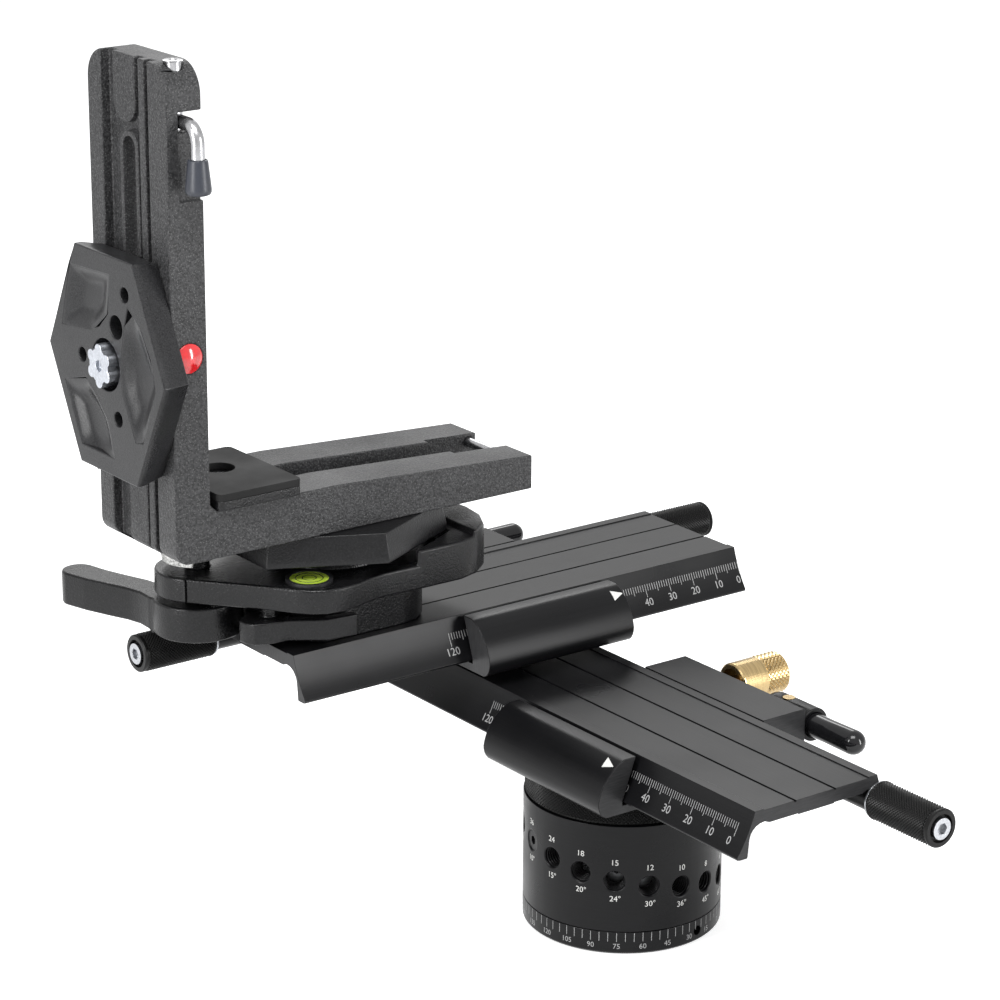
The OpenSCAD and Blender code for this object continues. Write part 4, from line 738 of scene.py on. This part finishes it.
# %% Lever pin and sleeve
PIN_X, PIN_Y, BEND_R = -121.9, 60.8, 5.5
bar_y, bar_z = PIN_Y - 12.5, 260.9
quarter = np.linspace(0, np.pi / 2, 12)
path = ([(PIN_X, PIN_Y - 0.2, bar_z), (PIN_X, PIN_Y - 3, bar_z)]
        + [(PIN_X, bar_y + BEND_R - BEND_R * math.sin(a), bar_z - BEND_R + BEND_R * math.cos(a)) for a in quarter]
        + [(PIN_X, bar_y, z) for z in (253.0, 250.0, 247.8)])
lever_bar = bent_bar("lever_bar", path, [2.1] * len(path), (1, 0, 0), "pin_lever", "plain_steel")
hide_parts("pin_lever")
lever_shaft = turned_piece("lever_shaft", (PIN_X, PIN_Y, 246.9), (0, 0, 1),
                           [(0.4, 0.0), (2.5, 0.02), (2.5, 31.1), (2.7, 31.1), (3.0, 31.3), (3.0, 31.45), (2.7, 31.6),
                            (1.3, 31.6), (1.1, 31.35), (0.3, 31.3)], "pin_lever", "plain_steel")
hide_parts("pin_lever")
sleeve = turned_piece("lever_sleeve_cone", (PIN_X, bar_y, 251.4), (0, 0, -1),
                      [(2.15, 0.25), (2.5, 0.0), (2.85, 0.12), (3.0, 0.5), (3.28, 3.0), (3.6, 6.0), (3.88, 8.6),
                       (3.85, 9.4), (3.5, 10.1), (2.8, 10.4), (0.4, 10.48)],
                      "pin_lever", "blue_rubber", 48)
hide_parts("lever_sleeve")
print("lever faces:", [len(part.data.polygons) for part in (lever_bar, lever_shaft, sleeve)])

# %% [markdown]
# ## Release levers
# The grip is a glossy black plastic pin with a round end, pushed onto the lever bar.

# %% Lever grips
GRIP_R = 4.0
GRIP_WAYS = {"lower": (0, -1, 0), "upper": (1, 0, 0)}
for slide, way in GRIP_WAYS.items():
    low, high = (np.array(corner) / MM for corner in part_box(f"{slide}_lever_grip"))
    way = np.array(way, float)
    length = float(abs(way) @ (high - low))
    start = (low + high) / 2 - way * length / 2
    bow = np.linspace(0, np.pi / 2, 9)[1:-1]
    profile = ([(2.6, 0.03), (3.6, 0.03), (3.95, 0.5), (GRIP_R, 1.5), (3.85, 9.0), (GRIP_R, length - GRIP_R)]
               + [(GRIP_R * math.cos(a), length - GRIP_R + GRIP_R * math.sin(a)) for a in bow] + [(0.3, length)])
    grip_pin = turned_piece(f"{slide}_grip_pin", start, way, profile, f"{slide}_lever",
                            "gloss_black", 48)
    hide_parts(f"{slide}_lever_grip")
print("grip length:", round(length, 2), "mm")

# %% [markdown]
# ## Rings on the level and threads in the drum
# Two black circles printed on the level's lens show when its bubble is in the middle. The ten holes of the
# drum are tapped for the index plunger, and their threads catch the light. Both are tori: a small circle
# carried round a large one. A real thread is a helix, but rings at the thread's pitch look the same.

# %% Level rings
def torus(name, middle, way, ring_r, wire_r, body, finish, around=48, section=8, count=1, pitch=1.0):
    """Point = middle + k pitch way + (ring_r + wire_r cos b) (cos a side + sin a top) + wire_r sin b way."""
    way = np.array(way, float) / np.linalg.norm(way)
    side = np.cross(way, (0, 0, 1)) if abs(way[2]) < 0.9 else np.array([1.0, 0, 0])
    side /= np.linalg.norm(side)
    top = np.cross(way, side)
    a = circle_angles(around)[:, None, None]
    b = circle_angles(section)[None, :, None]
    one = np.array(middle, float) + (ring_r + wire_r * np.cos(b)) * (np.cos(a) * side + np.sin(a) * top) \
        + wire_r * np.sin(b) * way
    many = one.reshape(1, -1, 3) + np.arange(count)[:, None, None] * pitch * way
    cells = grid_faces(around, section, wrap_rows=True, wrap_cols=True)
    faces = (cells[None] + around * section * np.arange(count)[:, None, None]).reshape(-1, 4)
    piece = make_piece(name, many * MM, faces, body, finish, smooth=True)
    turn_outward(piece)
    return piece


LEVEL_RINGS, LEVEL_WIRE, LEVEL_SINK = (2.2, 4.3), 0.16, 0.05
level_low, level_high = (np.array(corner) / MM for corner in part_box("bubble_vial"))
level_middle = (*((level_low + level_high) / 2)[:2], level_high[2] - LEVEL_SINK)
for k, ring_r in enumerate(LEVEL_RINGS):
    torus(f"level_ring_{k + 1}", level_middle, (0, 0, 1), ring_r, LEVEL_WIRE, "upper_carriage", "gloss_black")
print("level rings at", np.round(level_middle, 2))

# %% [markdown]
# The ten holes of the drum lie 20 degrees apart and fall from one to the next. The second one holds the
# plunger, so it shows no thread.

# %% Threads in the drum
HOLE_R, FIRST_HOLE, HOLE_STEP, PLUNGER_HOLE = 3.2, 147, 20, 1
HOLE_TOP, HOLE_FALL = 32.1, 1.856
THREAD_START, THREAD_PITCH, THREAD_TURNS, THREAD_WIRE, THREAD_IN = 25.4, 0.95, 6, 0.24, 0.02
hole_z = [HOLE_TOP - HOLE_FALL * k for k in range(10)]
for k, z in enumerate(hole_z):
    if k != PLUNGER_HOLE:
        turn = math.radians(FIRST_HOLE + HOLE_STEP * k)
        out_way = np.array([math.cos(turn), math.sin(turn), 0.0])
        torus(f"drum_thread_{k + 1}", (*(THREAD_START * out_way)[:2], z), out_way, HOLE_R - THREAD_IN, THREAD_WIRE,
              "turntable", "turned_black", around=36, section=6, count=THREAD_TURNS, pitch=THREAD_PITCH)
print("threads:", len(hole_z) - 1)

# %% [markdown]
# ## Dished pockets
# The casting of the rear plate is hollowed between its ribs, and the hollows have soft slopes instead of
# upright walls. Each dish starts as the outline of its pocket, rounded by averaging every point with its
# neighbours. Rings of that outline shrink towards its middle and sink along a smooth step: with t going
# from nought to one, the depth goes with t t (3 - 2 t). The first ring lies at the back and closes the dish.

# %% Dishes in the rear plate
POCKETS = [[(19.3, 27.2), (-4.1, 29.1), (-1.8, 15.8), (7.7, 8.5), (25.3, 7.3)],
           [(24.4, -9.8), (11.7, -6.8), (5.9, -10.8), (-0.3, -16.8), (-4.2, -28.2), (6.3, -34.2), (15.8, -29.5)],
           [(-17.3, 19.2), (-21.4, 14.4), (-25.8, 7.1), (-30.2, -1.2), (-20.6, -19.3), (-16.6, -20.3), (-9.4, -7.2),
            (-9.0, 3.3), (-11.6, 14.3)]]
POCKET_DEPTH, PLATE_FACE, PLATE_MIDDLE = 3.0, -137.8, (77.2, 186.2)
RIM_POINTS, REACH, DISH_RINGS = 120, 5, 16
RIM_SHARE, SLOPE_SHARE, SOFT_SHARE = 0.998, 0.62, 0.25
RIM_SINK, DISH_THICK, BACK_GAP = 0.06, 0.3, 0.01
for k, outline in enumerate(POCKETS):
    corner = np.array(outline + outline[:1])
    edge_at = np.concatenate([[0], np.cumsum(np.linalg.norm(np.diff(corner, axis=0), axis=1))])
    walk = np.linspace(0, edge_at[-1], RIM_POINTS, endpoint=False)
    rim = np.stack([np.interp(walk, edge_at, corner[:, c]) for c in (0, 1)], axis=1)
    round_rim = sum(np.roll(rim, shift, axis=0) for shift in range(-REACH, REACH + 1)) / (2 * REACH + 1)
    middle = rim.mean(axis=0)
    share = np.concatenate([[RIM_SHARE, RIM_SHARE], np.linspace(0.97, 0.03, DISH_RINGS)])
    step = np.clip((1 - share) / SLOPE_SHARE, 0, 1)
    sink = RIM_SINK + (POCKET_DEPTH - DISH_THICK) * step * step * (3 - 2 * step)
    sink[0] = POCKET_DEPTH - BACK_GAP
    soft = np.clip((1 - share) / SOFT_SHARE, 0, 1)[:, None, None]
    flat = middle + share[:, None, None] * ((1 - soft) * rim + soft * round_rim - middle)
    points = np.stack([np.broadcast_to(PLATE_FACE + sink[:, None], flat.shape[:2]), PLATE_MIDDLE[0] + flat[..., 0],
                       PLATE_MIDDLE[1] + flat[..., 1]], axis=-1)
    faces = list(grid_faces(len(share), RIM_POINTS, wrap_cols=True)) + end_caps(len(share), RIM_POINTS)
    dish = make_piece(f"plate_dish_{k + 1}", points * MM, faces, "side_plate", "black_mould", smooth=True)
    turn_outward(dish)
    dish.data.set_sharp_from_angle(angle=math.radians(60))
print("dishes:", len(POCKETS))

# %% [markdown]
# ## Printed scales
# Laser engraving turns black anodising pale, without any depth worth naming. Each scale is first laid
# out flat, with x along the reading direction, y upwards and a third number for how far it stands off.
# The flat layout is then bent onto its surface by one formula: a shallow hollow arc for the flared edges
# of the plates, a round arc for the clamp jaws, and a cylinder for the rotation unit.

# %% Flat ticks
PRINT_T = 0.03


def tick_bars(x, top, length, width):
    """Bars hanging down from top, one for each x; x and length are arrays in millimetres."""
    x, length = np.asarray(x, float), np.broadcast_to(np.asarray(length, float), np.shape(x))
    run = np.linspace(0, 1, 4)
    corner = np.array([[-0.5, 0], [0.5, 0], [0.5, 1], [-0.5, 1]]) * (width, PRINT_T)
    points = np.zeros((len(x), 4, 4, 3))
    points[..., 0] = x[:, None, None] + corner[None, None, :, 0]
    points[..., 1] = top - length[:, None, None] * run[None, :, None]
    points[..., 2] = corner[None, None, :, 1]
    side = grid_faces(4, 4, wrap_cols=True)
    caps = np.array([[3, 2, 1, 0], [12, 13, 14, 15]])
    faces = (np.concatenate([side, caps])[None] + 16 * np.arange(len(x))[:, None, None]).reshape(-1, 4)
    return points.reshape(-1, 3), [list(f) for f in faces]


print("two ticks:", len(tick_bars([0, 1], 0, 1, 0.2)[1]), "faces")

# %% [markdown]
# Blender's own font makes the numbers, at a size 1.38 times the height of a digit. A text object is turned
# into a mesh at once and then removed, so that only points and faces are left to be laid out.

# %% Numerals
SIZE_OF_HEIGHT = 1.38


def numeral(text, height):
    """One short number as a flat mesh: points centred on it and faces; height and thickness in millimetres."""
    curve = bpy.data.curves.new("numeral", "FONT")
    curve.body, curve.size, curve.extrude, curve.resolution_u = text, height * SIZE_OF_HEIGHT, PRINT_T / 2, 3
    curve.align_x, curve.align_y = "CENTER", "CENTER"
    holder = bpy.data.objects.new("numeral", curve)
    scene.collection.objects.link(holder)
    bpy.context.view_layer.update()
    mesh = bpy.data.meshes.new_from_object(holder.evaluated_get(bpy.context.evaluated_depsgraph_get()))
    points = np.empty(3 * len(mesh.vertices))
    mesh.vertices.foreach_get("co", points)
    faces = [list(face.vertices) for face in mesh.polygons]
    bpy.data.objects.remove(holder)
    bpy.data.curves.remove(curve)
    bpy.data.meshes.remove(mesh)
    points = points.reshape(-1, 3)
    points[:, 2] += PRINT_T / 2
    return points, faces


print("numerals are", PRINT_T, "mm thick")

# %% [markdown]
# One scale has hundreds of small flat pieces. They are joined into one mesh while they still lie flat, so
# that only one object has to be bent, and only one rides on its body.

# %% Joining flat pieces
def laid_out(parts):
    """Joins flat meshes, each given as points, faces and its place (x, y)."""
    points, faces, count = [], [], 0
    for part_points, part_faces, (x, y) in parts:
        points.append(part_points + np.array([x, y, 0.0]))
        faces += [[count + v for v in face] for face in part_faces]
        count += len(part_points)
    return np.concatenate(points), faces


print("joining ready")

# %% [markdown]
# A flat layout becomes a curved one by changing what each point's height on the paper means: on a plate's
# edge it is the way down a shallow hollow, and on the drum the reading direction is the way round.

# %% Bending a flat layout onto an arc or a cylinder
def on_arc(flat, origin, along, out, top, chord, bow):
    """The surface u, w with chord from its top edge (top) and a bow across its middle: outwards if positive.
    u = top_u + s c_u + n_u (4 bow s (1 - s) + h), the same for w, with s = distance down / chord length."""
    chord = np.array(chord, float)
    length = np.linalg.norm(chord)
    normal = np.array([-chord[1], chord[0]]) / length
    s = -flat[:, 1] / length
    lift = 4 * bow * s * (1 - s) + flat[:, 2]
    u, w = (top[k] + s * chord[k] + normal[k] * lift for k in (0, 1))
    place = np.array(origin, float) + flat[:, :1] * np.array(along, float) + u[:, None] * np.array(out, float)
    place[:, 2] += w
    return place * MM


def on_cylinder(flat, radius, start_degrees):
    """Wraps x round the Z axis from start_degrees: x = radius * angle, and y becomes the height."""
    angle = math.radians(start_degrees) + flat[:, 0] / radius
    r = radius + flat[:, 2]
    return np.stack([r * np.cos(angle), r * np.sin(angle), flat[:, 1]], axis=1) * MM


PLATE_EDGE, CLAMP_JAW = ((24.0, 0.0), (6.5, -13.3), -0.6), ((30.3, 0.3), (9.9, -12.3), 2.1)
sample = on_arc(np.array([[0, -10.0, 0]]), (0, 0, 0), (1, 0, 0), (0, 1, 0), *PLATE_EDGE)
print("10 mm down the hollow edge:", sample.round(4).tolist())

# %% [markdown]
# Both plates carry the same scale: 121 lines a millimetre apart, longer at each five and ten, with plain
# numbers below. The first number stands a little further in, so that it stays on the plate.

# %% Millimetre scales of the two slides
TICK_TOP, TICK_W, NUMBER_H, NUMBER_Y = -5.0, 0.2, 2.6, -11.1
SCALE_END, TEN_TICK, FIVE_TICK, ONE_TICK, FIRST_IN = 120, 4.3, 3.0, 2.2, 1.3
scale_t = np.arange(SCALE_END + 1)
tick_len = np.where(scale_t % 10 == 0, TEN_TICK, np.where(scale_t % 5 == 0, FIVE_TICK, ONE_TICK))
scale_flat = laid_out([(*tick_bars(-scale_t, TICK_TOP, tick_len, TICK_W), (0, 0))]
                      + [(*numeral(str(t), NUMBER_H), (-max(t, FIRST_IN), NUMBER_Y))
                         for t in range(0, SCALE_END + 1, 10)])
EDGES = {"upper": ((89.1, 77.2, 90.6), (1, 0, 0), (0, -1, 0), "upper_carriage"),
         "lower": ((4.1, -80.7, 69.4), (0, -1, 0), (-1, 0, 0), "lower_carriage")}
for slide, (origin, along, out, body) in EDGES.items():
    points = on_arc(scale_flat[0], origin, along, out, *PLATE_EDGE)
    make_piece(f"{slide}_scale", points, scale_flat[1], body, "grey_engraving")
print("scale points:", len(scale_flat[0]))

# %% [markdown]
# A white triangle on each clamp's jaw points at the reading. It is a patch of small cells, because a single
# flat face would cut through the round jaw. The patch has an upper and a lower side, so that it is closed.

# %% Index marks of the two slides
MARKS = {"upper": ((0, 77.2, 90.6), (1, 0, 0), (0, -1, 0),
                   [(33.1, -4.2), (28.91, -2.28), (28.72, -6.09)], "lower_carriage"),
         "lower": ((4.1, 0, 69.4), (0, -1, 0), (-1, 0, 0),
                   [(31.91, -3.68), (27.02, -1.67), (27.79, -5.33)], "turntable")}
MARK_ROWS, MARK_TIP, MARK_UP, MARK_DOWN = 9, 0.06, 0.05, -0.03
steps = np.linspace(MARK_TIP, 1.0, MARK_ROWS)[:, None]
across = np.concatenate([np.linspace(0, 1, MARK_ROWS), np.linspace(1, 0, MARK_ROWS)])[None, :]
lift = np.where(np.arange(2 * MARK_ROWS) < MARK_ROWS, MARK_UP, MARK_DOWN)[None, :]
for slide, (origin, along, out, corners, body) in MARKS.items():
    tip, left, right = (np.array(corner) for corner in corners)
    spot = tip + steps[..., None] * ((left - tip) + across[..., None] * (right - left))
    flat = np.concatenate([spot, np.broadcast_to(lift, spot.shape[:2])[..., None]], axis=-1).reshape(-1, 3)
    faces = list(grid_faces(MARK_ROWS, 2 * MARK_ROWS, wrap_cols=True)) + end_caps(MARK_ROWS, 2 * MARK_ROWS)
    points = on_arc(flat, origin, along, out, *CLAMP_JAW)
    mark = make_piece(f"{slide}_mark", points, faces, body, "white_print")
    turn_outward(mark)
print("mark faces:", len(mark.data.polygons))

# %% [markdown]
# ## Numbers on the rotation unit
# Above each of the ten holes stands the number of stops in a full turn, and below it the angle between
# two stops.

# %% Numbers on the drum
PAN_R, STOPS, DRUM_TEXT = 31.5, (72, 36, 24, 18, 15, 12, 10, 8, 6, 4), 1.9
OVER_HOLE, UNDER_HOLE, SIGN_SHIFT = 6.2, 5.9, 0.3
degree = math.radians(1) * PAN_R
drum_parts = []
for k, (stops, z) in enumerate(zip(STOPS, hole_z)):
    x = k * HOLE_STEP * degree
    drum_parts.append((*numeral(str(stops), DRUM_TEXT), (x, z + OVER_HOLE)))
    drum_parts.append((*numeral(f"{360 // stops}\u00b0", DRUM_TEXT), (x + SIGN_SHIFT, z - UNDER_HOLE)))
drum_flat, drum_faces = laid_out(drum_parts)
make_piece("drum_numbers", on_cylinder(drum_flat, PAN_R, FIRST_HOLE), drum_faces, "turntable", "white_print")
print("drum print faces:", len(drum_faces))

# %% [markdown]
# The ring at the bottom is graduated in degrees, clockwise, with a line every 5 and a number every 15
# degrees. It is read at one white line on the drum, which stands at the back.

# %% Base ring and its index
RING_TOP, RING_TICK, RING_TEXT, RING_TEXT_Z, RING_START = 7.3, 2.95, 1.75, 2.7, 303.7
INDEX_TOP, INDEX_LONG, INDEX_AT = 11.2, 3.2, 38.2
RING_TICK_W, INDEX_W = 0.18, 0.3
ring_flat, ring_faces = laid_out(
    [(*tick_bars(-degree * np.arange(0, 360, 5), RING_TOP, RING_TICK, RING_TICK_W), (0, 0))]
    + [(*numeral(str(n), RING_TEXT), (-n * degree, RING_TEXT_Z)) for n in range(0, 360, 15)])
make_piece("ring_graduation", on_cylinder(ring_flat, PAN_R, RING_START), ring_faces, "base", "grey_engraving")
index_flat, index_faces = tick_bars([0.0], INDEX_TOP, INDEX_LONG, INDEX_W)
make_piece("index_mark", on_cylinder(index_flat, PAN_R, INDEX_AT), index_faces, "turntable", "white_print")
print("ring print faces:", len(ring_faces))
